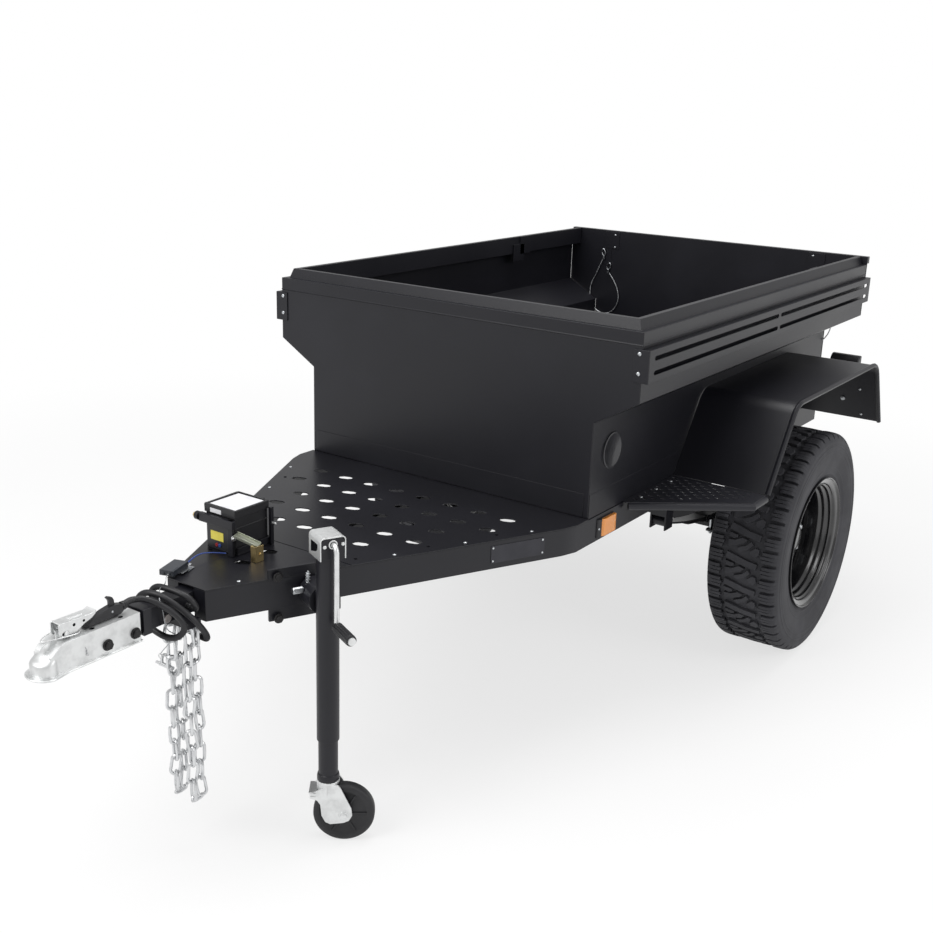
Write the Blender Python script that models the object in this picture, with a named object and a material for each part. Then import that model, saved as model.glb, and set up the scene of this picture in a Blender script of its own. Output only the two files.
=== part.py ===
"""An off-road box trailer, parked on its jack.

The trailer points along -Y, so its coupler is at low Y, its tailgate at high Y, and its
left side at +X.  Heights are measured from the ground, and lengths along the trailer from
the axle.  One empty, "trailer", then moves the whole model so that the origin lies on the
ground under the middle of its length.  All sizes are in metres.
"""
import math

import bmesh
import bpy
from mathutils import Matrix, Vector

# Gaps and overruns
seat_gap = 0.0003
pin_gap = 0.0005
cut_over = 0.010
sides = (("left", 1), ("right", -1))

# Frame: two rails of box tube that bend inwards to the tongue
rail_w = 0.060
rail_h = 0.075
plate_t = 0.003
deck_top_z = 0.6695
deck_nose_half_w = 0.063
deck_front_y = -2.023
bend_front_y = -1.138
bend_rear_y = -1.090
rail_top_z = deck_top_z - plate_t - seat_gap
rail_mid_z = rail_top_z - rail_h / 2
crossmember_w = 0.050
crossmember_h = 0.050
mid_crossmember_y = -0.240
deck_seam_y = -1.692
slot_pitch_x = 0.0962
slot_rear_gap = 0.1486
slot_front_y = -1.567
slot_row_counts = (4, 6, 6, 8, 8)
front_slot_x = 0.005
front_slot_ys = (-1.846, -1.755)
slot_len = 0.046
slot_w = 0.026
slot_turn_deg = 20

# Tongue tube and its end collar
tongue_size = 0.0508
tongue_front_y = -2.290
tongue_mid_z = 0.6325
collar_size = 0.063
collar_front_y = -2.176
collar_len = 0.024

# Tub: lower walls, sloping shoulders, wider upper walls and a folded top rail
wall_t = 0.003
tub_front_y = -1.028
tub_len = 1.781
tub_lower_half_w = 0.500
tub_upper_half_w = 0.630
crease_z = 0.7365
crease_out = 0.0015
shoulder_low_z = 0.9405
shoulder_high_z = 1.0155
tub_top_z = 1.233
top_rail_h = 0.0645
top_rail_w = 0.042
top_slope_run = 0.009
top_slope_drop = 0.028
top_ledge_w = 0.017
top_hem = 0.0025
rail_out = 0.004
bend_in = 0.015
rail_outer_x = tub_lower_half_w + rail_out
rail_inner_x = rail_outer_x - rail_w
bend_front_x = rail_outer_x - bend_in
tub_rear_y = tub_front_y + tub_len
tub_low_z = deck_top_z - plate_t
top_rail_low_z = tub_top_z - top_rail_h

# Tailgate on a rod hinge at the rear edge of the frame
gate_gap = 0.005
gate_fold_w = 0.022
gate_fold_h = 0.025
hinge_drop = 0.024
knuckle_r = 0.010
knuckle_len = 0.080
knuckle_inset = 0.064
knuckle_x = rail_inner_x - knuckle_inset
lug_w = 0.020
gate_front_y = tub_rear_y + gate_gap
hinge_y = gate_front_y + wall_t + knuckle_r
hinge_z = deck_top_z - hinge_drop

# Side channels: slotted hat rails along the upper walls
channel_h = 0.088
channel_out = 0.021
channel_t = 0.0025
channel_drop = 0.0085
end_plate_h = 0.088
end_plate_w = 0.045
end_plate_t = 0.003
channel_slot_h = 0.012
channel_bar_w = 0.015
channel_end_w = 0.028
channel_slot_shares = (0.28, 0.72)

# Fenders: bent sheet with a rolled outer edge
fender_t = 0.003
fender_outer_x = 0.815
fender_top_z = 0.9125
fender_front_y = -0.501
fender_front_z = 0.6690
fender_front_bend_y = -0.330
fender_rear_bend_y = 0.432
fender_rear_y = 0.551
fender_rear_z = 0.6785
fender_bend_r = 0.070
fender_bead_r = 0.008

# Step plates ahead of the fenders
step_front_y = -0.830
step_corner_x = 0.804
step_corner_y = -0.598
step_rear_gap = 0.0075
step_tube_r = 0.011
step_bite = 0.001
step_stub = 0.004
step_hole_len = 0.019
step_hole_w = 0.010
step_hole_pitch_x = 0.040
step_hole_pitch_y = 0.0185
step_margin = 0.022
step_rear_y = fender_front_y - step_rear_gap

# Wheels: 16-inch steel rims with all-terrain tyres
wheel_mid_x = 0.697
tyre_r = 0.372
tread_half_w = 0.115
sidewall_half_w = 0.1205
lug_depth = 0.010
lug_count = 25
lug_turn_share = 0.76
lug_taper = 0.003
lug_side_out = 0.003
lug_shift_share = 0.5
block_row_x = 0.058
bulge_low_share = 0.22
bulge_mid_share = 0.45
bulge_high_share = 0.76
rim_flange_r = 0.2215
rim_seat_r = 0.2035
rim_half_w = 0.1135
rim_sheet = 0.005
rim_well_r = 0.180
disc_r = 0.174
disc_t = 0.007
window_low_r = 0.138
window_high_r = 0.165
window_count = 8
window_turn_share = 0.62
window_foot_share = 0.8
hub_face_r = 0.098
hub_face_out = 0.015
hub_cap_r = 0.045
hub_cap_top_r = 0.034
hub_cap_out = 0.050
drum_r = 0.131
drum_depth = 0.085
spindle_r = 0.020
wheel_segments = 32

# Axle, springs and shock absorbers
axle_size = 0.050
axle_z = tyre_r
backing_r = 0.135
backing_t = 0.004
backing_gap = 0.003
spring_w = 0.044
spring_half_len = 0.500
spring_rise = 0.075
spring_leaf_t = 0.007
spring_leaf_shares = (1.0, 0.74, 0.48, 0.26)
spring_eye_r = 0.017
spring_pad_h = 0.012
hanger_t = 0.005
hanger_len = 0.050
hanger_bite = 0.002
shock_r = 0.021
shock_rod_r = 0.007
shock_lean_deg = 28
shock_inset = 0.085

# Coupler with its ball socket, and the latch lever on top
coupler_wall = 0.003
coupler_top_z = 0.6615
coupler_rear_y = -2.182
coupler_nose_y = -2.458
ball_r = 0.0254
ball_gap = 0.001
socket_wall = 0.006
flange_w = 0.009
flange_t = 0.004
flange_z = 0.5930
latch_pivot_y = -2.372
latch_half_w = 0.015
latch_ear_t = 0.003
latch_ear_h = 0.020
latch_pin_r = 0.004
latch_len = 0.092
latch_lift = 0.006
latch_front = 0.008
latch_slot_len = 0.026

# Jack on a swivel bracket on the left arm
jack_along = 0.2604
jack_out = 0.102
jack_bracket_len = 0.181
jack_bracket_h = 0.130
jack_bracket_t = 0.008
jack_bracket_start = 0.1454
jack_tube_r = 0.0275
jack_tube_top_z = 0.750
jack_tube_low_z = 0.275
jack_boss_r = 0.024
jack_ring_r = 0.036
jack_inner_r = 0.024
jack_inner_low_z = 0.166
jack_inner_top_z = 0.640
head_low_z = 0.750
head_top_z = 0.806
head_half_along = 0.032
head_half_out = 0.034
crank_z = 0.7876
crank_shaft_r = 0.007
crank_shaft_len = 0.016
crank_rod_r = 0.006
crank_len = 0.196
grip_r = 0.014
grip_len = 0.095
collar_r = 0.028
caster_r = 0.076
caster_w = 0.034
caster_offset = 0.039
caster_heading_deg = 37
fork_t = 0.005
fork_gap = 0.005
fork_w = 0.050
fork_pin_r = 0.007

# Battery box, its cradle and the breakaway switch on the deck
battery_x = -0.1355
battery_y = -1.828
battery_w = 0.0995
battery_len = 0.112
battery_h = 0.112
cradle_t = 0.005
cradle_lip = 0.020
cradle_over = 0.014
lid_over = 0.003
lid_h = 0.022
switch_x = -0.0385
switch_y = -2.025
switch_w = 0.038
switch_len = 0.070
switch_h = 0.016
switch_lift = 0.006
switch_foot_share = 0.3
switch_heading_deg = 18

# Safety chains under the tongue
chain_top_y = -2.060
chain_low_z = 0.135
chain_gap_x = 0.058
chain_mid_x = 0.024
chain_w = 0.026
chain_wire = 0.008
chain_run_gap = 0.021
chain_links = 13
chain_depth = 0.040
chain_tab_h = 0.016

# Wiring loom, wound round the tongue, with its plug on the coupler
loom_r = 0.007
loom_coil_r = 0.060
loom_turns = 2
loom_coil_y = -2.108
plug_r = 0.014
plug_len = 0.058
plug_y = -2.262

# Lamps
marker_len = 0.095
marker_h = 0.055
marker_out = 0.012
marker_z = 0.6270
marker_rear_y = -0.886
badge_r = 0.0525
badge_t = 0.004
badge_y = -0.915
badge_z = 0.8415
lamp_out = 0.080
lamp_x = tub_lower_half_w + lamp_out
lamp_w = 0.108
lamp_inset = 0.141
lamp_y = tub_rear_y - lamp_inset
lamp_depth = 0.050
lamp_h = 0.085
lamp_top_z = 0.888
lamp_arm_h = 0.030
lamp_arm_t = 0.005

# Shares of a length that only shape an outline
hook_share = 0.5

arm_x = bend_front_x - deck_nose_half_w
arm_y = bend_front_y - deck_front_y
arm_len = math.hypot(arm_x, arm_y)
along_arm = Vector((arm_x / arm_len, arm_y / arm_len, 0))
out_of_arm = Vector((arm_y / arm_len, -arm_x / arm_len, 0))
nose_corner = Vector((deck_nose_half_w, deck_front_y, 0))
up = Vector((0, 0, 1))

for old in list(bpy.data.objects):
    bpy.data.objects.remove(old)

model_mid_y = (coupler_nose_y + hinge_y + knuckle_r) / 2
trailer = bpy.data.objects.new("trailer", None)
trailer.location = (0, -model_mid_y, 0)
bpy.context.collection.objects.link(trailer)


def material(name, colour, roughness, metallic=0.0):
    """A Principled material with one colour."""
    made = bpy.data.materials.new(name)
    made.use_nodes = True
    shader = made.node_tree.nodes["Principled BSDF"]
    shader.inputs["Base Color"].default_value = (*colour, 1.0)
    shader.inputs["Roughness"].default_value = roughness
    shader.inputs["Metallic"].default_value = metallic
    return made


black_coat = material("black_coat", (0.030, 0.030, 0.036), 0.45)
gloss_black = material("gloss_black", (0.012, 0.012, 0.014), 0.15)
zinc = material("zinc", (0.62, 0.64, 0.66), 0.32, 1.0)
rubber = material("rubber", (0.035, 0.035, 0.038), 0.85)
tyre_rubber = material("tyre_rubber", (0.035, 0.035, 0.038), 0.90)
black_plastic = material("black_plastic", (0.020, 0.020, 0.022), 0.55)
amber_lens = material("amber_lens", (0.90, 0.33, 0.03), 0.15)
red_lens = material("red_lens", (0.55, 0.02, 0.02), 0.15)


def add_object(name, body, look, pivot=None):
    """Puts a bmesh into the scene, with its origin on the pivot if it has one."""
    bmesh.ops.recalc_face_normals(body, faces=body.faces)
    if pivot is not None:
        bmesh.ops.translate(body, verts=body.verts, vec=-Vector(pivot))
    mesh = bpy.data.meshes.new(name)
    body.to_mesh(mesh)
    body.free()
    mesh.materials.append(look)
    made = bpy.data.objects.new(name, mesh)
    made.parent = trailer
    if pivot is not None:
        made.location = pivot
    bpy.context.collection.objects.link(made)
    return made


def smooth(thing, angle=math.radians(35)):
    """Shades a round piece smooth, with its sharp edges kept."""
    thing.data.shade_smooth()
    thing.data.set_sharp_from_angle(angle=angle)
    return thing


def boolean(target, tool, operation):
    """Joins a hidden guide to an object, or cuts it away."""
    step = target.modifiers.new(operation.lower(), "BOOLEAN")
    step.object = tool
    step.operation = operation
    step.solver = "EXACT"
    tool.hide_render = True
    tool.display_type = "WIRE"
    return target


def join(target, tool):
    return boolean(target, tool, "UNION")


def cut(target, tool):
    return boolean(target, tool, "DIFFERENCE")


def to_space(axis, a, b, c):
    """A point of an outline (a, b), at distance c along the axis that the outline faces."""
    if axis == "X":
        return (c, a, b)
    if axis == "Y":
        return (a, c, b)
    return (a, b, c)


def prism(name, outline, axis, low, high, look, pivot=None):
    """A flat outline pulled along an axis, from low to high."""
    body = bmesh.new()
    corners = [body.verts.new(to_space(axis, a, b, low)) for a, b in outline]
    face = body.faces.new(corners)
    pulled = bmesh.ops.extrude_face_region(body, geom=[face])
    moved = [item for item in pulled["geom"] if isinstance(item, bmesh.types.BMVert)]
    bmesh.ops.translate(body, verts=moved, vec=to_space(axis, 0, 0, high - low))
    return add_object(name, body, look, pivot)


def prisms(name, outlines, axis, low, high, look):
    """Several flat outlines pulled along an axis, as one guide for a row of holes."""
    body = bmesh.new()
    for outline in outlines:
        first = [body.verts.new(to_space(axis, a, b, low)) for a, b in outline]
        second = [body.verts.new(to_space(axis, a, b, high)) for a, b in outline]
        bridge(body, first, second)
        body.faces.new(first)
        body.faces.new(second[::-1])
    return add_object(name, body, look)


def stadium(centre, length, width, turn, steps=3):
    """The outline of a slot with round ends, turned from the first axis."""
    outline = []
    for end in (0, 1):
        middle = (length - width) / 2 * (1 - 2 * end)
        for step in range(steps + 1):
            angle = math.pi * (end - 1 / 2 + step / steps)
            point = Vector((middle + width / 2 * math.cos(angle), width / 2 * math.sin(angle)))
            point.rotate(Matrix.Rotation(turn, 2))
            outline.append((centre[0] + point.x, centre[1] + point.y))
    return outline


def block(name, x, y, z, look, pivot=None):
    """A box between two values on each axis."""
    corners = [(x[0], y[0]), (x[1], y[0]), (x[1], y[1]), (x[0], y[1])]
    return prism(name, corners, "Z", z[0], z[1], look, pivot)


def basis(direction):
    """Two directions square to a direction and to each other."""
    ahead = Vector(direction).normalized()
    guide = up if abs(ahead.dot(up)) < 1 / math.sqrt(2) else Vector((1, 0, 0))
    across = guide.cross(ahead).normalized()
    return ahead, across, ahead.cross(across)


def turned(name, profile, start, direction, look, segments=24, pivot=None, closed=False):
    """A profile of (distance, radius) turned about a line.

    Points with no radius close the shape on the line.  A closed profile makes a ring.
    """
    ahead, across, over = basis(direction)
    body = bmesh.new()
    rings = []
    for distance, radius in profile:
        middle = Vector(start) + ahead * distance
        if radius == 0:
            rings.append([body.verts.new(middle)])
            continue
        turns = (math.tau * step / segments for step in range(segments))
        rings.append([body.verts.new(middle + across * (radius * math.cos(turn))
                                     + over * (radius * math.sin(turn))) for turn in turns])
    pairs = list(zip(rings, rings[1:]))
    if closed:
        pairs.append((rings[-1], rings[0]))
    for first, second in pairs:
        bridge(body, first, second)
    return smooth(add_object(name, body, look, pivot))


def bridge(body, first, second):
    """Faces between two rings of points, either of which may be a single point."""
    count = max(len(first), len(second))
    for step in range(count):
        after = (step + 1) % count
        if len(first) == 1:
            body.faces.new((first[0], second[step], second[after]))
        elif len(second) == 1:
            body.faces.new((first[step], first[after], second[0]))
        else:
            body.faces.new((first[step], first[after], second[after], second[step]))


def rod(name, start, end, radius, look, segments=12, pivot=None):
    """A plain round bar between two points."""
    run = Vector(end) - Vector(start)
    profile = [(0, 0), (0, radius), (run.length, radius), (run.length, 0)]
    return turned(name, profile, start, run, look, segments, pivot)


def turn_left(step):
    return Vector((-step.y, step.x))


def offset_path(points, distance):
    """A path beside an open 2D path, on its left for a distance over zero, with mitred bends."""
    path = [Vector(point) for point in points]
    moved = []
    for place, point in enumerate(path):
        before = (point - path[place - 1]).normalized() if place else None
        after = (path[place + 1] - point).normalized() if place + 1 < len(path) else None
        first = turn_left(before or after)
        second = turn_left(after or before)
        mitre = (first + second).normalized()
        moved.append(tuple(point + mitre * (distance / mitre.dot(first))))
    return moved


def strip(points, thickness):
    """The outline of a bent sheet whose left face is at the thickness from its path."""
    return list(points) + offset_path(points, thickness)[::-1]


def rounded_path(points, radius, steps=5):
    """An open 2D path whose bends are arcs of one radius."""
    path = [Vector(point) for point in points]
    result = [tuple(path[0])]
    for before, corner, after in zip(path, path[1:], path[2:]):
        into = (corner - before).normalized()
        out = (after - corner).normalized()
        bend = into.angle(out)
        setback = radius * math.tan(bend / 2)
        start = corner - into * setback
        turn = 1 if into.x * out.y - into.y * out.x > 0 else -1
        centre = start + turn_left(into) * (turn * radius)
        for step in range(steps + 1):
            angle = turn * bend * step / steps
            arm = Matrix.Rotation(angle, 2) @ (start - centre)
            result.append(tuple(centre + arm))
    result.append(tuple(path[-1]))
    return result


def swept(name, section, path, side_dir, look, pivot=None):
    """A closed section carried along an open path in one plane, with mitred bends and flat ends.

    A section point is (distance along side_dir, distance to the left of the path in its plane).
    """
    side = Vector(side_dir)
    route = [Vector(point) for point in path]
    body = bmesh.new()
    rings = []
    for place, point in enumerate(route):
        before = (point - route[place - 1]).normalized() if place else None
        after = (route[place + 1] - point).normalized() if place + 1 < len(route) else None
        first = side.cross(before or after)
        second = side.cross(after or before)
        mitre = (first + second).normalized()
        reach = 1 / mitre.dot(first)
        rings.append([body.verts.new(point + side * a + mitre * (b * reach)) for a, b in section])
    for first, second in zip(rings, rings[1:]):
        bridge(body, first, second)
    body.faces.new(rings[0])
    body.faces.new(rings[-1][::-1])
    return add_object(name, body, look, pivot)


def circle(radius, count, centre=(0, 0)):
    """Points round a circle, for a section or an outline."""
    return [(centre[0] + radius * math.cos(math.tau * step / count),
             centre[1] + radius * math.sin(math.tau * step / count)) for step in range(count)]


def smooth_route(points, spacing):
    """Points at an even spacing on a smooth curve through the given points."""
    path = [Vector(point) for point in points]
    ends = [path[0] * 2 - path[1]] + path + [path[-1] * 2 - path[-2]]
    fine = []
    for a, b, c, d in zip(ends, ends[1:], ends[2:], ends[3:]):
        for step in range(16):
            t = step / 16
            fine.append((b * 2 + (c - a) * t + (a * 2 - b * 5 + c * 4 - d) * t ** 2
                         + (b * 3 - a - c * 3 + d) * t ** 3) / 2)
    fine.append(path[-1])
    total = sum((after - before).length for before, after in zip(fine, fine[1:]))
    count = max(2, round(total / spacing))
    picked = [fine[0]]
    walked = 0.0
    for before, after in zip(fine, fine[1:]):
        walked += (after - before).length
        if walked >= total * len(picked) / count and len(picked) < count:
            picked.append(after)
    picked.append(fine[-1])
    return picked


def cord(name, points, radius, look, resolution=2):
    """A round cord along a route, with closed ends."""
    curve = bpy.data.curves.new(name, "CURVE")
    curve.dimensions = "3D"
    curve.bevel_depth = radius
    curve.bevel_resolution = resolution
    curve.use_fill_caps = True
    spline = curve.splines.new("POLY")
    spline.points.add(len(points) - 1)
    for point, place in zip(spline.points, points):
        point.co = (*place, 1.0)
    curve.materials.append(look)
    made = bpy.data.objects.new(name, curve)
    made.parent = trailer
    bpy.context.collection.objects.link(made)
    return made


def on_arm(along, out, height):
    """A point beside the left arm, from its front corner."""
    place = nose_corner + along_arm * along + out_of_arm * out
    return Vector((place.x, place.y, height))


def mirrored(outline, sign):
    return [(sign * a, b) for a, b in outline]


# Frame

def frame_rail(side, sign):
    """A rail and its arm, bent from one tube, with spring hangers under it."""
    outer = [(deck_nose_half_w, deck_front_y), (bend_front_x, bend_front_y),
             (rail_outer_x, bend_rear_y), (rail_outer_x, tub_rear_y)]
    inner = offset_path(outer, rail_w)
    clip_x = tongue_size / 2 + seat_gap
    share = (clip_x - inner[0][0]) / (inner[1][0] - inner[0][0])
    clip = (clip_x, inner[0][1] + share * (inner[1][1] - inner[0][1]))
    outline = [(clip_x, deck_front_y)] + outer + inner[:0:-1] + [clip]
    low = rail_top_z - rail_h
    rail = prism(f"frame_rail_{side}", mirrored(outline, sign), "Z", low, rail_top_z, black_coat)
    for end, direction in (("front", -1), ("rear", 1)):
        eye_y = direction * spring_half_len
        half = spring_w / 2 + seat_gap
        mid = sign * (rail_outer_x - rail_w / 2)
        low_z = spring_eye_z() - spring_eye_r - hanger_t
        legs = [(mid - half - hanger_t, low_z), (mid - half, low_z),
                (mid - half, spring_eye_z() + spring_eye_r + hanger_t),
                (mid + half, spring_eye_z() + spring_eye_r + hanger_t),
                (mid + half, low_z), (mid + half + hanger_t, low_z),
                (mid + half + hanger_t, low + hanger_bite), (mid - half - hanger_t, low + hanger_bite)]
        hanger = prism(f"hanger_{end}_{side}", legs, "Y", eye_y - hanger_len / 2,
                       eye_y + hanger_len / 2, black_coat)
        join(rail, hanger)
    return rail


def crossmembers():
    """Three tubes between the rails, the last with lugs that hold the tailgate's knuckles."""
    half = rail_inner_x - seat_gap
    for name, y in (("front", tub_front_y), ("mid", mid_crossmember_y),
                    ("rear", tub_rear_y - crossmember_w)):
        tube = block(f"crossmember_{name}", (-half, half), (y, y + crossmember_w),
                     (rail_top_z - crossmember_h, rail_top_z), black_coat)
    for side, sign in sides:
        for place in (-1, 1):
            near = sign * knuckle_x + place * (knuckle_len / 2 + pin_gap)
            lug_x = tuple(sorted((near, near + place * lug_w)))
            lug = block(f"hinge_lug_{side}_{place + 1}", lug_x,
                        (tub_rear_y - step_bite, hinge_y + knuckle_r / 2),
                        (hinge_z - knuckle_r * 2, hinge_z + knuckle_r / 2), black_coat)
            join(tube, lug)


def tongue():
    half = tongue_size / 2
    z = (tongue_mid_z - half, tongue_mid_z + half)
    tube = block("tongue_tube", (-half, half), (tongue_front_y, tub_front_y - seat_gap), z, black_coat)
    reach = chain_gap_x / 2 + chain_w / 2
    tab = block("chain_tab", (chain_mid_x - reach, chain_mid_x + reach),
                (chain_top_y - chain_depth / 2, chain_top_y + chain_depth / 2),
                (z[0] - chain_tab_h, z[0] + step_bite), black_coat)
    join(tube, tab)
    outer = collar_size / 2
    collar = block("tongue_collar", (-outer, outer), (collar_front_y, collar_front_y + collar_len),
                   (tongue_mid_z - outer, tongue_mid_z + outer), black_plastic)
    inner = half + seat_gap
    bore = block("collar_bore", (-inner, inner),
                 (collar_front_y - cut_over, collar_front_y + collar_len + cut_over),
                 (tongue_mid_z - inner, tongue_mid_z + inner), black_plastic)
    cut(collar, bore)


def deck_plates():
    """The plain plate at the nose and the wide plate behind it, on the arms."""
    low = deck_top_z - plate_t
    seam_x = deck_nose_half_w + (deck_seam_y - deck_front_y) * arm_x / arm_y
    nose = [(-deck_nose_half_w, deck_front_y), (deck_nose_half_w, deck_front_y),
            (seam_x, deck_seam_y - seat_gap), (-seam_x, deck_seam_y - seat_gap)]
    front = prism("deck_front_plate", nose, "Z", low, deck_top_z, black_coat)
    turn = math.radians(slot_turn_deg)
    slots = [stadium((front_slot_x, y), slot_len, slot_w, turn) for y in front_slot_ys]
    cut(front, prisms("front_slots", slots, "Z", low - cut_over, deck_top_z + cut_over, black_coat))
    rear = tub_front_y - seat_gap
    right = [(seam_x, deck_seam_y), (bend_front_x, bend_front_y), (rail_outer_x, bend_rear_y),
             (rail_outer_x, rear)]
    outline = right + [(-x, y) for x, y in reversed(right)]
    plate = prism("deck_main_plate", outline, "Z", low, deck_top_z, black_coat)
    slots = []
    pitch_y = (tub_front_y - slot_rear_gap - slot_front_y) / (len(slot_row_counts) - 1)
    for row, count in enumerate(slot_row_counts):
        y = slot_front_y + pitch_y * row
        for place in range(count):
            x = slot_pitch_x * (place - (count - 1) / 2)
            slots.append(stadium((x, y), slot_len, slot_w, turn))
    cut(plate, prisms("deck_slots", slots, "Z", low - cut_over, deck_top_z + cut_over, black_coat))


# Tub

def tub_half_outline(inset):
    """Half of the tub's stepped end shape, from the floor up, drawn in by an inset."""
    lower = tub_lower_half_w - inset
    upper = tub_upper_half_w - inset
    return [(lower, deck_top_z + seat_gap), (lower, shoulder_low_z), (upper, shoulder_high_z),
            (upper, top_rail_low_z - seat_gap)]


def tub_walls():
    half = tub_lower_half_w - wall_t - seat_gap
    block("tub_floor", (-half, half), (tub_front_y + wall_t + seat_gap, tub_rear_y),
          (deck_top_z - plate_t, deck_top_z), black_coat)
    shape = tub_half_outline(0)
    outline = shape + mirrored(shape[::-1], -1)
    prism("tub_front_panel", outline, "Y", tub_front_y, tub_front_y + wall_t, black_coat)
    for side, sign in sides:
        outer = [(tub_lower_half_w + crease_out, tub_low_z),
                 (tub_lower_half_w + crease_out, crease_z), (tub_lower_half_w, crease_z + crease_out),
                 (tub_lower_half_w, shoulder_low_z), (tub_upper_half_w, shoulder_high_z),
                 (tub_upper_half_w, top_rail_low_z - seat_gap)]
        section = strip(outer, wall_t)
        wall = prism(f"tub_side_{side}", mirrored(section, sign), "Y", tub_front_y + wall_t + seat_gap,
                     tub_rear_y, black_coat)
        face = tub_lower_half_w - step_bite
        badge = rod(f"badge_{side}", (sign * face, badge_y, badge_z),
                    (sign * (face + step_bite + badge_t), badge_y, badge_z), badge_r, black_coat, 32)
        join(wall, badge)


def top_rail():
    """The folded rail round the front and sides of the tub's mouth."""
    slope_x = -top_ledge_w - top_slope_run
    section = [(-top_rail_w, top_rail_low_z), (-top_rail_w, tub_top_z),
               (slope_x, tub_top_z), (-top_ledge_w, tub_top_z - top_slope_drop),
               (0, tub_top_z - top_slope_drop), (0, top_rail_low_z + top_hem),
               (top_hem, top_rail_low_z)]
    path = [(-tub_upper_half_w, tub_rear_y, 0), (-tub_upper_half_w, tub_front_y, 0),
            (tub_upper_half_w, tub_front_y, 0), (tub_upper_half_w, tub_rear_y, 0)]
    flat = [(z, -out) for out, z in section]
    swept("top_rail", flat, path, up, black_coat)


def side_channel(side, sign):
    """A slotted channel along the upper wall, closed by an end plate at the front."""
    top = top_rail_low_z - channel_drop
    wall = tub_upper_half_w + seat_gap
    path = [(wall, top), (wall + channel_out, top), (wall + channel_out, top - channel_h),
            (wall, top - channel_h)]
    section = strip(path, -channel_t)
    channel = prism(f"side_channel_{side}", mirrored(section, sign), "Y",
                    tub_front_y, tub_rear_y, black_coat)
    mid = (tub_front_y + tub_rear_y) / 2
    slots = []
    for share in channel_slot_shares:
        z = top - channel_h * share
        for start, end in ((tub_front_y + channel_end_w, mid - channel_bar_w / 2),
                           (mid + channel_bar_w / 2, tub_rear_y - channel_end_w)):
            slots.append(stadium(((start + end) / 2, z), end - start, channel_slot_h, 0, 2))
    face = wall + channel_out
    reach = sorted((sign * (face - channel_t - cut_over / 2), sign * (face + cut_over)))
    cut(channel, prisms(f"channel_slots_{side}", slots, "X", reach[0], reach[1], black_coat))
    plate = block(f"channel_end_{side}",
                  tuple(sorted((sign * (tub_upper_half_w + channel_out - end_plate_w),
                                sign * (wall + channel_out)))),
                  (tub_front_y - end_plate_t - seat_gap, tub_front_y - seat_gap),
                  (top - end_plate_h, top), black_coat)
    return channel, plate


def tailgate():
    """The rear panel, folded at its top and sides, on knuckles of a rod hinge."""
    shape = tub_half_outline(0)
    shape[0] = (shape[0][0], deck_top_z + gate_gap)
    shape[-1] = (shape[-1][0], tub_top_z)
    outline = shape + mirrored(shape[::-1], -1)
    pivot = (0, hinge_y, hinge_z)
    gate = prism("tailgate", outline, "Y", gate_front_y, gate_front_y + wall_t, black_coat, pivot)
    half = tub_upper_half_w
    rear = gate_front_y + wall_t
    fold = block("gate_fold", (-half, half), (rear - step_bite, rear + gate_fold_w - wall_t),
                 (tub_top_z - gate_fold_h, tub_top_z), black_coat)
    join(gate, fold)
    for side, sign in sides:
        mid = sign * knuckle_x
        leaf = block(f"gate_leaf_{side}", (mid - knuckle_len / 2, mid + knuckle_len / 2),
                     (rear - step_bite, rear + wall_t),
                     (hinge_z, deck_top_z + gate_gap + gate_fold_h), black_coat)
        knuckle = rod(f"gate_knuckle_{side}", (mid - knuckle_len / 2, hinge_y, hinge_z),
                      (mid + knuckle_len / 2, hinge_y, hinge_z), knuckle_r, black_coat)
        join(gate, leaf)
        join(gate, knuckle)
    return gate


# Running gear

def spring_eye_z():
    return axle_z + axle_size / 2 + spring_pad_h + spring_rise + spring_leaf_t * len(spring_leaf_shares)


def axle():
    """A square axle tube with its stub ends and the brakes' backing plates."""
    half = axle_size / 2
    plate_x = wheel_mid_x - drum_depth - backing_gap
    beam = block("axle_beam", (-plate_x + step_bite, plate_x - step_bite), (-half, half),
                 (axle_z - half, axle_z + half), black_coat)
    reach = wheel_mid_x + hub_cap_out / 2 - plate_x + backing_t
    profile = [(0, 0), (0, backing_r), (backing_t, backing_r), (backing_t, spindle_r),
               (reach, spindle_r), (reach, 0)]
    for side, sign in sides:
        end = turned(f"axle_end_{side}", profile, (sign * (plate_x - backing_t), 0, axle_z),
                     (sign, 0, 0), black_coat)
        join(beam, end)
    return beam


def leaf_spring(side, sign):
    """A stack of leaves, curved up to an eye at each end, on a pad on the axle."""
    mid = sign * (rail_outer_x - rail_w / 2)
    low = axle_z + axle_size / 2 + seat_gap

    def height(y):
        return spring_rise * (y / spring_half_len) ** 2

    stack = spring_pad_h + spring_leaf_t * len(spring_leaf_shares)
    steps = 12
    top = [(spring_half_len * (2 * step / steps - 1)) for step in range(steps + 1)]
    upper = [(y, low + stack + height(y)) for y in top]
    lower = []
    for place, share in enumerate(spring_leaf_shares):
        reach = spring_half_len * share
        depth = spring_leaf_t * (place + 1)
        if place:
            lower.append((reach, low + stack + height(reach) - depth + spring_leaf_t))
        lower.append((reach, low + stack + height(reach) - depth))
    pad = axle_size
    rear_half = lower + [(pad / 2 + spring_leaf_t, low + stack - depth), (pad / 2, low)]
    front_half = [(-y, z) for y, z in reversed(rear_half)]
    outline = upper + rear_half + front_half
    inner = mid - spring_w / 2
    outer = mid + spring_w / 2
    spring = prism(f"leaf_spring_{side}", outline, "X", inner, outer, black_coat)
    eye_z = low + stack + spring_rise
    for direction in (-1, 1):
        y = direction * spring_half_len
        eye = rod(f"spring_eye_{side}_{direction + 1}", (inner, y, eye_z), (outer, y, eye_z),
                  spring_eye_r, black_coat)
        join(spring, eye)
    return spring


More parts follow.
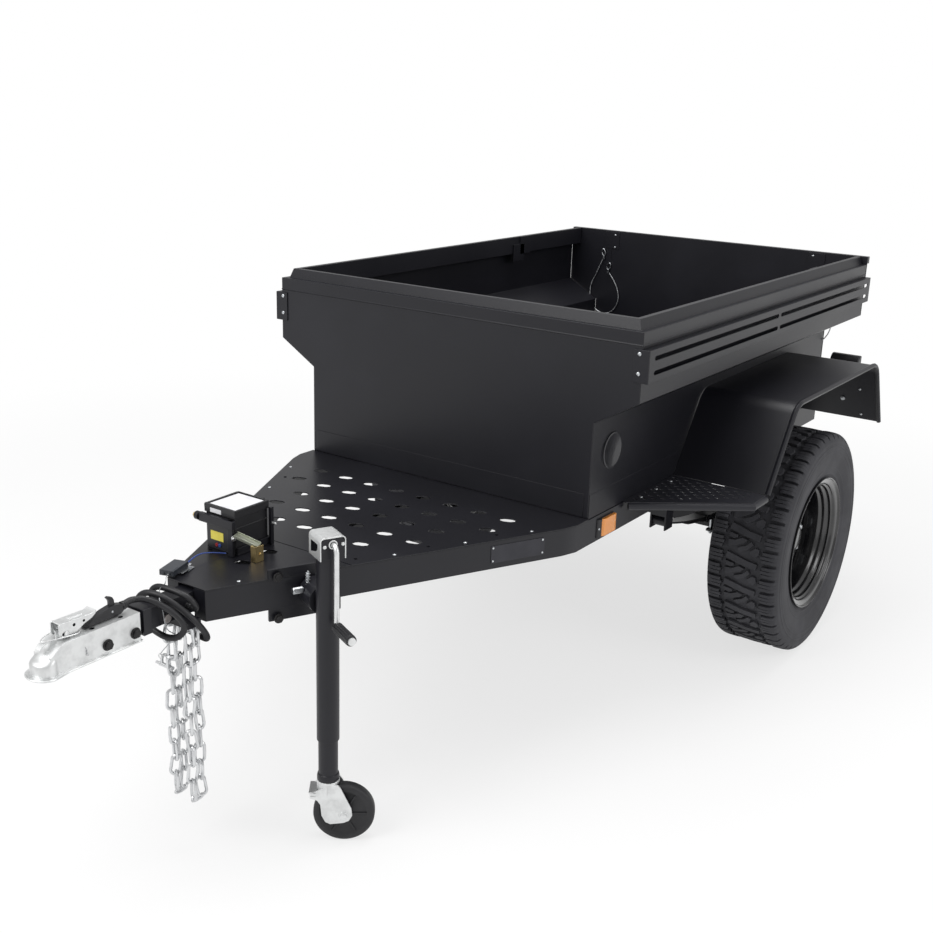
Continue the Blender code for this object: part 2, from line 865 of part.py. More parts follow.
def shock(side, sign):
    """A shock absorber that leans from the axle up to the rail."""
    x = sign * (rail_inner_x - shock_inset)
    lean = math.radians(shock_lean_deg)
    low = Vector((x, axle_size / 2 + shock_r * math.cos(lean) + seat_gap, axle_z))
    run = (rail_top_z - rail_h + crossmember_h / 2 - axle_z) / math.cos(lean)
    direction = (0, math.sin(lean), math.cos(lean))
    profile = [(0, 0), (0, shock_r), (run * hook_share, shock_r), (run * hook_share, shock_rod_r),
               (run - shock_r, shock_rod_r), (run - shock_r, shock_r), (run, shock_r), (run, 0)]
    return turned(f"shock_{side}", profile, low, direction, black_coat, 16)


# Wheels

def rim_profile():
    """The rim, disc, hub and drum as one turned shape, from the hub cap round to the bore."""
    flange = rim_half_w
    well = flange / 2
    bore = spindle_r + pin_gap
    return [(hub_cap_out, 0), (hub_cap_out, hub_cap_top_r), (hub_cap_out - rim_sheet, hub_cap_r),
            (hub_face_out, hub_cap_r), (hub_face_out, hub_face_r), (0, hub_face_r + hub_face_out),
            (0, disc_r), (well, disc_r + rim_sheet), (well + rim_sheet * 2, rim_seat_r - rim_sheet * 2),
            (flange - rim_sheet, rim_seat_r - rim_sheet),
            (flange - rim_sheet / 2, rim_flange_r - rim_sheet),
            (flange, rim_flange_r - rim_sheet / 2), (flange, rim_flange_r),
            (flange - rim_sheet * 2, rim_flange_r), (flange - rim_sheet * 2, rim_seat_r),
            (well + rim_sheet * 2, rim_seat_r - rim_sheet), (well, rim_well_r + rim_sheet),
            (-well, rim_well_r + rim_sheet), (-well - rim_sheet * 2, rim_seat_r - rim_sheet),
            (-flange + rim_sheet * 2, rim_seat_r), (-flange + rim_sheet * 2, rim_flange_r),
            (-flange, rim_flange_r), (-flange, rim_flange_r - rim_sheet),
            (-flange + rim_sheet, rim_seat_r - rim_sheet),
            (-well - rim_sheet * 2, rim_seat_r - rim_sheet * 2),
            (-well, rim_well_r), (-disc_t, disc_r), (-disc_t, drum_r), (-drum_depth, drum_r),
            (-drum_depth, bore), (hub_cap_out / 2 + rim_sheet, bore), (hub_cap_out / 2 + rim_sheet, 0)]


def rim_windows(side, sign):
    """The guides for the windows through the disc, each an arc outside and a straight foot inside."""
    half_turn = math.pi / window_count * window_turn_share
    outlines = []
    for place in range(window_count):
        mid_turn = math.tau * place / window_count
        corners = [(window_high_r, mid_turn + half_turn * share) for share in (1, 1 / 3, -1 / 3, -1)]
        foot = half_turn * window_foot_share
        corners += [(window_low_r, mid_turn - foot), (window_low_r, mid_turn + foot)]
        outlines.append([(r * math.cos(turn), axle_z + r * math.sin(turn)) for r, turn in corners])
    reach = sorted((sign * (wheel_mid_x - disc_t - cut_over), sign * (wheel_mid_x + cut_over)))
    return prisms(f"rim_windows_{side}", outlines, "X", reach[0], reach[1], gloss_black)


def tyre_profile():
    """Half of the tyre's section with its grooves' floor, from the bead's foot to the middle."""
    bead = rim_half_w - rim_sheet * 2 - seat_gap
    clear = rim_flange_r + rim_sheet
    height = tyre_r - clear
    floor_r = tyre_r - lug_depth
    seat = rim_seat_r / math.cos(math.pi / lug_count * lug_turn_share) + seat_gap
    return [(bead, seat), (bead, clear),
            (sidewall_half_w, clear + height * bulge_mid_share),
            (tread_half_w + rim_sheet / 3, clear + height * bulge_high_share),
            (tread_half_w, floor_r), (block_row_x, floor_r), (0, floor_r)]


def tyre(side, sign):
    """A ring with lugs on both shoulders and two rows of blocks between them.

    The grooves' floor is a grid of rings round the wheel.  Where a lug or block stands, the grid
    is left open and its edges rise to the block's top, so the whole tyre stays one skin.
    """
    half = tyre_profile()
    profile = half + [(-x, r) for x, r in reversed(half[:-1])]
    last = len(profile) - 1
    wall, corner, row, middle = range(len(half) - 4, len(half))
    lug_top = [(wall, half[wall][0] + lug_side_out, half[wall][1] + lug_taper),
               (corner, tread_half_w + lug_side_out, tyre_r - lug_taper),
               (row, block_row_x + lug_taper, tyre_r)]
    block_top = [(row, block_row_x - lug_taper, tyre_r), (middle, lug_taper, tyre_r)]
    tops = [lug_top, block_top]
    tops += [[(last - place, -x, r) for place, x, r in top] for top in (lug_top, block_top)]
    open_columns = {min(a[0], b[0]) for top in tops for a, b in zip(top, top[1:])}
    pitch = math.tau / lug_count

    def point(x, r, turn):
        across = max(-tread_half_w, min(tread_half_w, x)) / tread_half_w
        leant = turn + pitch * lug_shift_share * across / 2
        return Vector((sign * (wheel_mid_x + x), r * math.cos(leant), axle_z + r * math.sin(leant)))

    body = bmesh.new()
    turns = [pitch * (place // 2 + place % 2 * lug_turn_share) for place in range(2 * lug_count)]
    rings = [[body.verts.new(point(x, r, turn)) for x, r in profile] for turn in turns]
    for place, ring in enumerate(rings):
        after = rings[(place + 1) % len(rings)]
        for column in range(len(profile)):
            if place % 2 or column not in open_columns:
                beside = (column + 1) % len(profile)
                body.faces.new((ring[column], ring[beside], after[beside], after[column]))
    slant = lug_taper / tyre_r
    for place in range(0, len(rings), 2):
        for top in tops:
            first = [body.verts.new(point(x, r, turns[place] + slant)) for _, x, r in top]
            second = [body.verts.new(point(x, r, turns[place + 1] - slant)) for _, x, r in top]
            foot = [rings[place][column] for column, _, _ in top]
            foot += [rings[place + 1][column] for column, _, _ in reversed(top)]
            bridge(body, foot, first + second[::-1])
            for a, b, c, d in zip(first, first[1:], second[1:], second):
                body.faces.new((a, b, c, d))
    return smooth(add_object(f"tyre_{side}", body, tyre_rubber, (sign * wheel_mid_x, 0, axle_z)))


def wheel(side, sign):
    centre = (sign * wheel_mid_x, 0, axle_z)
    rim = turned(f"wheel_rim_{side}", rim_profile(), centre, (sign, 0, 0), gloss_black, wheel_segments,
                 centre)
    cut(rim, rim_windows(side, sign))
    tyre(side, sign)


# Fenders and steps

def fender(side, sign):
    """Bent sheet over the wheel with a rolled bead along its outer edge."""
    corners = [(fender_front_y, fender_front_z), (fender_front_bend_y, fender_top_z),
               (fender_rear_bend_y, fender_top_z), (fender_rear_y, fender_rear_z)]
    path = [(0, y, z) for y, z in rounded_path(corners, fender_bend_r)]
    inner = tub_lower_half_w + crease_out + seat_gap
    bead_x = fender_outer_x - fender_bead_r
    bead_start = math.asin(fender_t / 2 / fender_bead_r)
    bead = []
    for step in range(9):
        turn = math.pi - bead_start - (math.tau - 2 * bead_start) * step / 8
        bead.append((bead_x + fender_bead_r * math.cos(turn),
                     fender_bead_r * math.sin(turn) - fender_t / 2))
    section = [(inner, 0)] + bead + [(inner, -fender_t)]
    section = [(sign * x, b) for x, b in section]
    return smooth(swept(f"fender_{side}", section, path, (1, 0, 0), black_coat))


def step_holes(edge_x):
    """Oval holes in staggered rows, as far as the step's slanting front edge allows."""
    slope = (step_corner_y - step_front_y) / (step_corner_x - edge_x)
    start_x = tub_lower_half_w + step_margin
    end_x = step_corner_x - step_margin
    start_y = step_rear_y - step_margin
    row_count = int((start_y - step_front_y) / step_hole_pitch_y)
    column_count = int((end_x - start_x) / step_hole_pitch_x) + 1
    holes = []
    for row in range(row_count):
        for column in range(column_count):
            x = start_x + step_hole_pitch_x * (column + row % 2 / 2)
            y = start_y - step_hole_pitch_y * row
            front = step_front_y + max(0, x - edge_x) * slope + step_margin * math.hypot(1, slope)
            if y > front and x < end_x:
                holes.append([(x + step_hole_len / 2 * a, y + step_hole_w / 2 * b)
                              for a, b in circle(1, 6)])
    return holes


def step_plate(side, sign):
    """A flat step on the rail ahead of the fender, with a tube round its free edge."""
    inner = tub_lower_half_w + crease_out + seat_gap
    edge_x = rail_outer_x + step_tube_r
    outline = [(inner, step_front_y), (edge_x, step_front_y), (step_corner_x, step_corner_y),
               (step_corner_x, step_rear_y), (inner, step_rear_y)]
    low = deck_top_z - plate_t
    plate = prism(f"step_plate_{side}", mirrored(outline, sign), "Z", low, deck_top_z, black_coat)
    holes = [mirrored(hole, sign) for hole in step_holes(edge_x)]
    cut(plate, prisms(f"step_holes_{side}", holes, "Z", low - cut_over, deck_top_z + cut_over, black_coat))
    tube_z = low - step_tube_r + step_bite
    start_x = rail_outer_x + step_tube_r + step_stub
    path = [(sign * start_x, step_front_y + step_stub, tube_z),
            (sign * step_corner_x, step_corner_y, tube_z), (sign * step_corner_x, step_rear_y, tube_z)]
    tube = swept(f"step_tube_{side}", circle(step_tube_r, 10), path, up, black_coat)
    return join(plate, smooth(tube))


# Lamps

def side_marker(side, sign):
    """An amber lamp with a slanting front end, on the rail's outer face."""
    face = rail_outer_x + seat_gap
    front = marker_rear_y - marker_len
    outline = [(face, front), (face + marker_out, front + marker_out), (face + marker_out, marker_rear_y),
               (face, marker_rear_y)]
    return prism(f"side_marker_{side}", mirrored(outline, sign), "Z", marker_z - marker_h / 2,
                 marker_z + marker_h / 2, amber_lens)


def tail_lamp(side, sign):
    """A rear lamp on an arm from the tub's lower wall."""
    x = tuple(sorted((sign * lamp_x, sign * (lamp_x + lamp_w))))
    lamp = block(f"tail_lamp_{side}", x, (lamp_y, lamp_y + lamp_depth),
                 (lamp_top_z - lamp_h, lamp_top_z), red_lens)
    wall = tub_lower_half_w + seat_gap
    arm_x_range = tuple(sorted((sign * wall, sign * (lamp_x + step_bite))))
    arm = block(f"lamp_arm_{side}", arm_x_range, (lamp_y, lamp_y + lamp_arm_t),
                (lamp_top_z - lamp_h, lamp_top_z - lamp_h + lamp_arm_h), black_coat)
    return join(lamp, arm)


# Coupler

def coupler():
    """A pressed channel over the tongue that widens into a ball socket, open below."""
    half = tongue_size / 2 + seat_gap
    outer = half + coupler_wall
    socket_r = ball_r + ball_gap + socket_wall
    ball_y = coupler_nose_y + flange_w + socket_r
    base = flange_z + flange_t / 2
    shell = block("coupler", (-outer, outer), (ball_y, coupler_rear_y - step_bite),
                  (base, coupler_top_z), zinc)
    steps = 5
    turns = [math.pi / 2 * step / steps for step in range(steps + 1)]
    arc = [(socket_r * math.sin(turn), socket_r * math.cos(turn)) for turn in turns]
    rise = coupler_top_z + latch_lift / 2 - base
    dome_profile = [(0, 0), (0, socket_r), (rise - socket_r, socket_r)]
    dome_profile += [(rise - socket_r + a, b) for a, b in arc[1:-1]] + [(rise, 0)]
    dome = turned("coupler_dome", dome_profile, (0, ball_y, base), up, zinc)
    nose_r = socket_r + flange_w
    nose = [(nose_r * math.cos(turn), ball_y + nose_r * math.sin(turn))
            for turn in (math.pi * (1 + step / 12) for step in range(13))]
    wing = outer + flange_w / 2
    flange_outline = nose + [(wing, ball_y + nose_r), (wing, coupler_rear_y),
                             (-wing, coupler_rear_y), (-wing, ball_y + nose_r)]
    flange = prism("coupler_flange", flange_outline, "Z", flange_z, flange_z + flange_t, zinc)
    join(shell, dome)
    join(shell, flange)
    ball = ball_r + ball_gap
    crown = cut_over + rise - socket_r
    cavity_profile = [(0, 0), (0, ball), (crown, ball)]
    cavity_profile += [(crown + ball * math.sin(turn), ball * math.cos(turn)) for turn in turns[1:-1]]
    cavity_profile += [(crown + ball, 0)]
    cavity = turned("socket_cavity", cavity_profile, (0, ball_y, base - cut_over), up, zinc)
    channel = block("coupler_hollow", (-half, half), (ball_y + ball / 2, coupler_rear_y + cut_over),
                    (flange_z - cut_over, tongue_mid_z + tongue_size / 2 + seat_gap), zinc)
    cut(shell, cavity)
    cut(shell, channel)
    ear = block("latch_ear", (-latch_ear_t / 2, latch_ear_t / 2),
                (latch_pivot_y - latch_ear_h / 2, latch_pivot_y + latch_ear_h / 2),
                (coupler_top_z - step_bite, coupler_top_z + latch_ear_h), zinc)
    pin_z = coupler_top_z + latch_ear_h / 2 + latch_pin_r / 2
    pin = rod("latch_pin", (-latch_half_w, latch_pivot_y, pin_z), (latch_half_w, latch_pivot_y, pin_z),
              latch_pin_r, zinc)
    join(shell, ear)
    join(shell, pin)
    return shell


def coupler_latch():
    """The U-shaped lever that turns on the pin above the coupler."""
    pin_z = coupler_top_z + latch_ear_h / 2 + latch_pin_r / 2
    low = coupler_top_z + latch_lift
    front = latch_pivot_y - latch_front
    top = low + latch_ear_h + latch_pin_r
    outline = [(front, low), (latch_pivot_y + latch_ear_h / 2, low),
               (latch_pivot_y + latch_len, top), (latch_pivot_y + latch_len, top + latch_pin_r),
               (latch_pivot_y, top + latch_pin_r * 2), (front, low + latch_ear_h)]
    pivot = (0, latch_pivot_y, pin_z)
    lever = prism("coupler_latch", outline, "X", -latch_half_w, latch_half_w, zinc, pivot)
    inner = latch_half_w - latch_ear_t
    slot = block("latch_slot", (-inner, inner),
                 (front - cut_over, latch_pivot_y + latch_slot_len),
                 (low - cut_over, top + latch_pin_r - latch_ear_t), zinc)
    bore = rod("latch_bore", (-latch_half_w - cut_over, latch_pivot_y, pin_z),
               (latch_half_w + cut_over, latch_pivot_y, pin_z), latch_pin_r + pin_gap, zinc)
    cut(lever, slot)
    cut(lever, bore)
    return lever


# Jack

def jack_bracket():
    """A plate on the arm with a round boss that the jack swings on."""
    start = on_arm(jack_bracket_start, seat_gap, 0)
    end = on_arm(jack_bracket_start + jack_bracket_len, seat_gap, 0)
    thick = out_of_arm * jack_bracket_t
    outline = [tuple(point.xy) for point in (start, end, end + thick, start + thick)]
    plate = prism("jack_bracket", outline, "Z", rail_mid_z - jack_bracket_h / 2,
                  rail_mid_z + jack_bracket_h / 2, black_coat)
    boss_start = on_arm(jack_along, jack_bracket_t / 2, rail_mid_z)
    boss_end = on_arm(jack_along, jack_out - jack_tube_r - seat_gap, rail_mid_z)
    boss = rod("jack_boss", boss_start, boss_end, jack_boss_r, black_coat, 20)
    return join(plate, boss)


def jack_pivot():
    return on_arm(jack_along, 0, rail_mid_z)


def jack_tube():
    """The outer tube with the ring that turns on the bracket's boss."""
    foot = on_arm(jack_along, jack_out, jack_tube_low_z)
    length = jack_tube_top_z - jack_tube_low_z
    profile = [(0, jack_inner_r + pin_gap), (0, jack_tube_r), (length, jack_tube_r),
               (length, jack_inner_r + pin_gap)]
    tube = turned("jack_tube", profile, foot, up, black_coat, 24, jack_pivot(), closed=True)
    ring_start = jack_bracket_t + seat_gap * 2
    ring_end = jack_out - (jack_tube_r + jack_inner_r) / 2
    ring_profile = [(0, jack_boss_r + pin_gap), (0, jack_ring_r),
                    (ring_end - ring_start, jack_ring_r), (ring_end - ring_start, jack_boss_r + pin_gap)]
    ring = turned("jack_ring", ring_profile, on_arm(jack_along, ring_start, rail_mid_z), out_of_arm,
                  black_coat, 20, closed=True)
    return join(tube, ring)


def jack_head():
    """The gear housing on the tube, with the crank's bearing."""
    start = on_arm(jack_along - head_half_along, jack_out - head_half_out, 0)
    corners = [start, start + along_arm * 2 * head_half_along]
    corners += [corners[1] + out_of_arm * 2 * head_half_out, corners[0] + out_of_arm * 2 * head_half_out]
    outline = [tuple(point.xy) for point in corners]
    return prism("jack_gear_head", outline, "Z", head_low_z + seat_gap, head_top_z, zinc, jack_pivot())


def jack_crank():
    """A bent crank with a ribbed grip, on the outer face of the gear housing."""
    hub = on_arm(jack_along, jack_out + head_half_out + seat_gap, crank_z)
    plane = jack_out + head_half_out + crank_shaft_len
    corner = on_arm(jack_along, plane, crank_z)
    low = on_arm(jack_along, plane, crank_z - crank_len)
    crank = rod("jack_crank", hub, corner + out_of_arm * crank_rod_r, crank_shaft_r, zinc, 12, hub)
    arm = rod("crank_arm", corner + up * crank_rod_r, low - up * crank_rod_r, crank_rod_r, zinc, 12)
    grip_start = low - out_of_arm * crank_rod_r
    grip = rod("crank_grip", grip_start, grip_start + out_of_arm * grip_len, grip_r, black_plastic, 14)
    join(crank, arm)
    join(crank, grip)
    return crank


def jack_inner():
    """The inner tube that the screw drives up and down."""
    foot = on_arm(jack_along, jack_out, jack_inner_low_z)
    length = jack_inner_top_z - jack_inner_low_z
    return rod("jack_inner_tube", foot, foot + up * length, jack_inner_r, black_coat, 24, foot)


def caster_pose():
    """The swivel axis's foot, the wheel's centre, its heading and its axle direction."""
    turn = math.radians(caster_heading_deg)
    heading = Vector((math.cos(turn), math.sin(turn), 0))
    across = Vector((-heading.y, heading.x, 0))
    swivel = on_arm(jack_along, jack_out, 0)
    wheel_mid = swivel + heading * caster_offset + up * caster_r
    return swivel, wheel_mid, heading, across


def caster_fork():
    """A collar under the inner tube with two cheeks down to the wheel's pin."""
    swivel, wheel_mid, heading, across = caster_pose()
    crown_top = jack_inner_low_z - seat_gap
    crown_low = crown_top - fork_t
    fork = rod("caster_fork", (swivel.x, swivel.y, crown_low), (swivel.x, swivel.y, crown_top),
               collar_r, zinc, 20, tuple(swivel))
    half = caster_w / 2 + fork_gap
    corners = [swivel - heading * collar_r - across * (half + fork_t),
               swivel + heading * (caster_offset + fork_w / 2) - across * (half + fork_t),
               swivel + heading * (caster_offset + fork_w / 2) + across * (half + fork_t),
               swivel - heading * collar_r + across * (half + fork_t)]
    crown = prism("fork_crown", [tuple(corner.xy) for corner in corners], "Z", crown_low,
                  crown_top - step_bite, zinc)
    join(fork, crown)
    for name, turn in (("a", 1), ("b", -1)):
        face = [swivel + heading * (caster_offset - fork_w / 2) + across * (turn * half),
                swivel + heading * (caster_offset + fork_w / 2) + across * (turn * half)]
        face += [face[1] + across * (turn * fork_t), face[0] + across * (turn * fork_t)]
        cheek = prism(f"fork_cheek_{name}", [tuple(corner.xy) for corner in face], "Z",
                      caster_r - fork_w / 3, crown_low + step_bite, zinc)
        join(fork, cheek)
    reach = half + fork_t + step_stub
    pin = rod("fork_pin", wheel_mid - across * reach, wheel_mid + across * reach, fork_pin_r, zinc, 12)
    join(fork, pin)
    return fork


def caster_wheel():
    """The jack's wheel, bored for the fork's pin."""
    swivel, wheel_mid, heading, across = caster_pose()
    half = caster_w / 2
    rounding = caster_w / 6
    bore = fork_pin_r + pin_gap
    profile = [(-half, bore), (-half, caster_r - rounding), (-half + rounding, caster_r),
               (half - rounding, caster_r), (half, caster_r - rounding), (half, bore)]
    return turned("caster_wheel", profile, wheel_mid, across, rubber, 32, tuple(wheel_mid), closed=True)


# Things on the deck and tongue

def battery():
    x = (battery_x, battery_x + battery_w)
    y = (battery_y, battery_y + battery_len)
    low = deck_top_z + seat_gap
    tray = block("battery_cradle", (x[0] - cradle_over, x[1] + cradle_over),
                 (y[0] - cradle_over, y[1] + cradle_over), (low, low + cradle_t + cradle_lip),
                 black_plastic)
    hollow = block("cradle_hollow", (x[0] - seat_gap, x[1] + seat_gap),
                   (y[0] - seat_gap, y[1] + seat_gap),
                   (low + cradle_t, low + cradle_t + cradle_lip + cut_over), black_plastic)
    cut(tray, hollow)
    foot = low + cradle_t + seat_gap
    case = block("battery_box", x, y, (foot, foot + battery_h - lid_h), black_plastic)
    lid = block("battery_lid", (x[0] - lid_over, x[1] + lid_over), (y[0] - lid_over, y[1] + lid_over),
                (foot + battery_h - lid_h - step_bite, foot + battery_h), black_plastic)
    return join(case, lid)


def breakaway_switch():
    """A flat box on a foot at the deck's nose, turned in line with the right arm."""
    low = deck_top_z + switch_lift
    turn = math.radians(switch_heading_deg)
    ahead = Vector((-math.sin(turn), math.cos(turn), 0))
    aside = Vector((-math.cos(turn), -math.sin(turn), 0))
    corner = Vector((switch_x, switch_y, 0))

    def patch(start_share, end_share):
        """The box's outline, or the rear part of it, from two shares of its length."""
        start = corner + ahead * switch_len * start_share
        end = corner + ahead * switch_len * end_share
        return [tuple(point.xy) for point in (start, end, end + aside * switch_w, start + aside * switch_w)]

    box = prism("breakaway_switch", patch(0, 1), "Z", low, low + switch_h, black_plastic)
    foot = prism("switch_foot", patch(switch_foot_share, 1 - switch_foot_share), "Z", deck_top_z + seat_gap,
                 low + step_bite, zinc)
    return join(box, foot)


def chain_run(name, x, y, low, high, first_wide):
    """Links hung one under another, every second one turned edge-on, as one body."""
    wire = chain_wire / 2
    wide = chain_w / 2
    pitch = (high - low) / chain_links
    levels = [(low, wire, wire)]
    for link in range(chain_links):
        flat = (wide, wire) if (link + first_wide) % 2 else (wire, wide)
        foot = low + pitch * link
        levels += [(foot + pitch / 4, *flat), (foot + pitch * 3 / 4, *flat), (foot + pitch, wire, wire)]
    body = bmesh.new()
    rings = []
    for z, a, b in levels:
        corners = ((x - a, y - b), (x + a, y - b), (x + a, y + b), (x - a, y + b))
        rings.append([body.verts.new((*corner, z)) for corner in corners])
    for first, second in zip(rings, rings[1:]):
        bridge(body, first, second)
    body.faces.new(rings[0])
    body.faces.new(rings[-1][::-1])
    return add_object(name, body, zinc)


def safety_chain(side, sign):
    """A chain that hangs double from the tongue's tab, joined at the top and at the bottom link."""
    x = chain_mid_x + sign * chain_gap_x / 2
    high = tongue_mid_z - tongue_size / 2 - chain_tab_h - seat_gap
    half = chain_wire / 2
    near = chain_top_y - chain_run_gap / 2
    far = chain_top_y + chain_run_gap / 2
    chain = chain_run(f"safety_chain_{side}", x, near, chain_low_z + half, high - half, 0)
    join(chain, chain_run(f"chain_run_{side}", x, far, chain_low_z + half, high - half, 1))
    for end, z in (("low", chain_low_z), ("high", high - chain_wire)):
        bar = block(f"chain_{end}_{side}", (x - half - step_bite, x + half + step_bite),
                    (near - half - step_bite, far + half + step_bite), (z, z + chain_wire), zinc)
        join(chain, bar)
    return chain


def wiring_loom():
    """The loom's turns round the tongue, and the run forward to its plug."""
    half_w = loom_r * loom_turns
    coil_profile = [(-half_w, loom_coil_r - loom_r), (-half_w, loom_coil_r + loom_r),
                    (half_w, loom_coil_r + loom_r), (half_w, loom_coil_r - loom_r)]
    turned("loom_coil", coil_profile, (0, loom_coil_y, tongue_mid_z), (0, 1, 0), black_plastic, 24,
           closed=True)
    top = tongue_mid_z + loom_coil_r
    start_y = loom_coil_y - half_w - seat_gap
    plug_z = coupler_top_z + plug_r + seat_gap
    plug_end_y = plug_y + plug_len + seat_gap
    route = [(0, start_y, top), (0, -2.136, top), (0, -2.152, 0.6920), (0.002, -2.168, 0.6840),
             (0, -2.182, 0.6765), (0, -2.194, plug_z), (0, plug_end_y, plug_z)]
    cord("wiring_loom", smooth_route(route, loom_r * 2), loom_r, black_plastic)


def loom_plug():
    plug_z = coupler_top_z + plug_r + seat_gap
    return rod("loom_plug", (0, plug_y, plug_z), (0, plug_y + plug_len, plug_z), plug_r, black_plastic, 16)


for side, sign in sides:
    frame_rail(side, sign)
crossmembers()
tongue()
deck_plates()
tub_walls()
top_rail()
for side, sign in sides:
    side_channel(side, sign)
    fender(side, sign)
    step_plate(side, sign)
    side_marker(side, sign)
    tail_lamp(side, sign)
    leaf_spring(side, sign)
    shock(side, sign)
    wheel(side, sign)
    safety_chain(side, sign)
tailgate()
axle()
coupler()
coupler_latch()
jack_bracket()
jack_tube()
jack_head()
jack_crank()
jack_inner()
caster_fork()
caster_wheel()
battery()
breakaway_switch()
wiring_loom()
loom_plug()
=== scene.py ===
"""The look of an off-road box trailer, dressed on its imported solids.

+X is the trailer's left side, -Y its front, +Z up, and all sizes are in metres.
"""

import math

import bmesh
import bpy
import numpy as np
from mathutils import Matrix, Vector


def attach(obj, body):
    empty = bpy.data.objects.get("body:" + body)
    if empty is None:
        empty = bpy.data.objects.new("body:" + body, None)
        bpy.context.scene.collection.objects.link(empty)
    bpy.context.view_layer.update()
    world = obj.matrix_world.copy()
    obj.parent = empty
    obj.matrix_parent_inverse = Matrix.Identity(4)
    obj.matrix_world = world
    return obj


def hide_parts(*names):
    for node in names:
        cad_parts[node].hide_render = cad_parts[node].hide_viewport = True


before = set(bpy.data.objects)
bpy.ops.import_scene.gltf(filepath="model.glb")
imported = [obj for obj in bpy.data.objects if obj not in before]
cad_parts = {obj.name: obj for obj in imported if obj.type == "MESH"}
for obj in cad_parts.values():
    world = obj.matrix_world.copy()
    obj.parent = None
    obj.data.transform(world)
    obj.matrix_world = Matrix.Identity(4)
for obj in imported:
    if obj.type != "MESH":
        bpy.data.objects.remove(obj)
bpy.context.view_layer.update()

# The studio: a camera at the photograph's angle, soft light from above and the left, and a pale floor that
# fades to white before the horizon.  The camera's place was fitted to the trailer's own straight edges.
camera_data = bpy.data.cameras.new("camera")
camera_data.sensor_width = 36.0
focal_in_widths = 1212.576 / 933
camera_data.lens = camera_data.sensor_width * focal_in_widths
camera_data.clip_end = 200.0
camera = bpy.data.objects.new("camera", camera_data)
bpy.context.collection.objects.link(camera)
camera_azimuth, camera_elevation, camera_roll = np.radians([34.6916, 17.4032, 1.8466])
camera_back = np.array([math.sin(camera_azimuth) * math.cos(camera_elevation),
                        -math.cos(camera_azimuth) * math.cos(camera_elevation), math.sin(camera_elevation)])
camera_right = np.array([math.cos(camera_azimuth), math.sin(camera_azimuth), 0.0])
camera_up = np.cross(camera_back, camera_right)
rolled_right = camera_right * math.cos(camera_roll) + camera_up * math.sin(camera_roll)
rolled_up = camera_up * math.cos(camera_roll) - camera_right * math.sin(camera_roll)
camera_axes = np.array([rolled_right, rolled_up, camera_back]).T
camera_place = (2.00532, -2.95354, 1.78986)
camera.matrix_world = Matrix.Translation(camera_place) @ Matrix(camera_axes.tolist()).to_4x4()
bpy.context.scene.camera = camera
bpy.context.scene.view_settings.view_transform = "Standard"


class Value:
    """A socket that adds its own Math nodes when it is used in an expression."""

    def __init__(self, shader, socket):
        self.shader = shader
        self.socket = socket

    def maths(self, operation, *others):
        numbers = {place: other for place, other in enumerate((self, *others))}
        return self.shader.node("Math", {"operation": operation}, numbers)

    def __add__(self, other):
        return self.maths("ADD", other)

    def __mul__(self, other):
        return self.maths("MULTIPLY", other)

    def over(self, low, high):
        """0 below low, 1 above high, smooth between."""
        return self.shader.node("MapRange", {"interpolation_type": "SMOOTHSTEP"},
                                {"Value": self, "From Min": low, "From Max": high})


class Finish:
    """A material and the nodes that make its surface."""

    def __init__(self, name, **constants):
        self.material = bpy.data.materials.new(name)
        self.material.use_nodes = True
        self.tree = self.material.node_tree
        self.principled = self.tree.nodes["Principled BSDF"]
        self.output = self.tree.nodes["Material Output"]
        for socket, value in constants.items():
            self.set(socket.replace("_", " "), value)

    def set(self, socket, value):
        """A constant or a link on the main shader's socket."""
        self.join(self.principled.inputs[socket], value)

    def join(self, target, value):
        """Gives one socket its link or its constant."""
        if isinstance(value, Value):
            self.tree.links.new(value.socket, target)
        elif isinstance(value, bpy.types.NodeSocket):
            self.tree.links.new(value, target)
        elif isinstance(value, tuple) and target.type == "RGBA" and len(value) == 3:
            target.default_value = (*value, 1.0)
        else:
            target.default_value = value

    def node(self, kind, settings=(), inputs=(), output=0):
        """One node of a type, its settings first, then the values or links of its sockets."""
        made = self.tree.nodes.new("ShaderNode" + kind)
        for name, value in dict(settings).items():
            setattr(made, name, value)
        for name, value in dict(inputs).items():
            self.join(made.inputs[name], value)
        return Value(self, made.outputs[output])

    def place(self):
        """Object coordinates: metres in the trailer's own frame."""
        return self.node("TexCoord", output="Object")

    def noise(self, scale, detail=2.0, roughness=0.5):
        """Soft clouds around 0.5, scale of them to a metre."""
        inputs = {"Vector": self.place(), "Scale": scale, "Detail": detail, "Roughness": roughness}
        return self.node("TexNoise", (), inputs)

    def mixed(self, factor, first, second):
        """first where the factor is 0, second where it is 1, as colours."""
        made = self.tree.nodes.new("ShaderNodeMix")
        made.data_type = "RGBA"
        self.join(made.inputs[0], factor)
        self.join(made.inputs[6], first)
        self.join(made.inputs[7], second)
        return Value(self, made.outputs[2])

    def tones(self, factor, first, second):
        """The base colour, from first to second by a factor."""
        self.set("Base Color", self.mixed(factor, first, second))

    def relief(self, height, distance, strength=1.0, soft_edge=None):
        """A bump from a height, over edges that look rounded by a radius where one is given."""
        inputs = {"Height": height, "Distance": distance, "Strength": strength}
        if soft_edge:
            inputs["Normal"] = self.node("Bevel", {"samples": 4}, {"Radius": soft_edge})
        self.set("Normal", self.node("Bump", (), inputs))


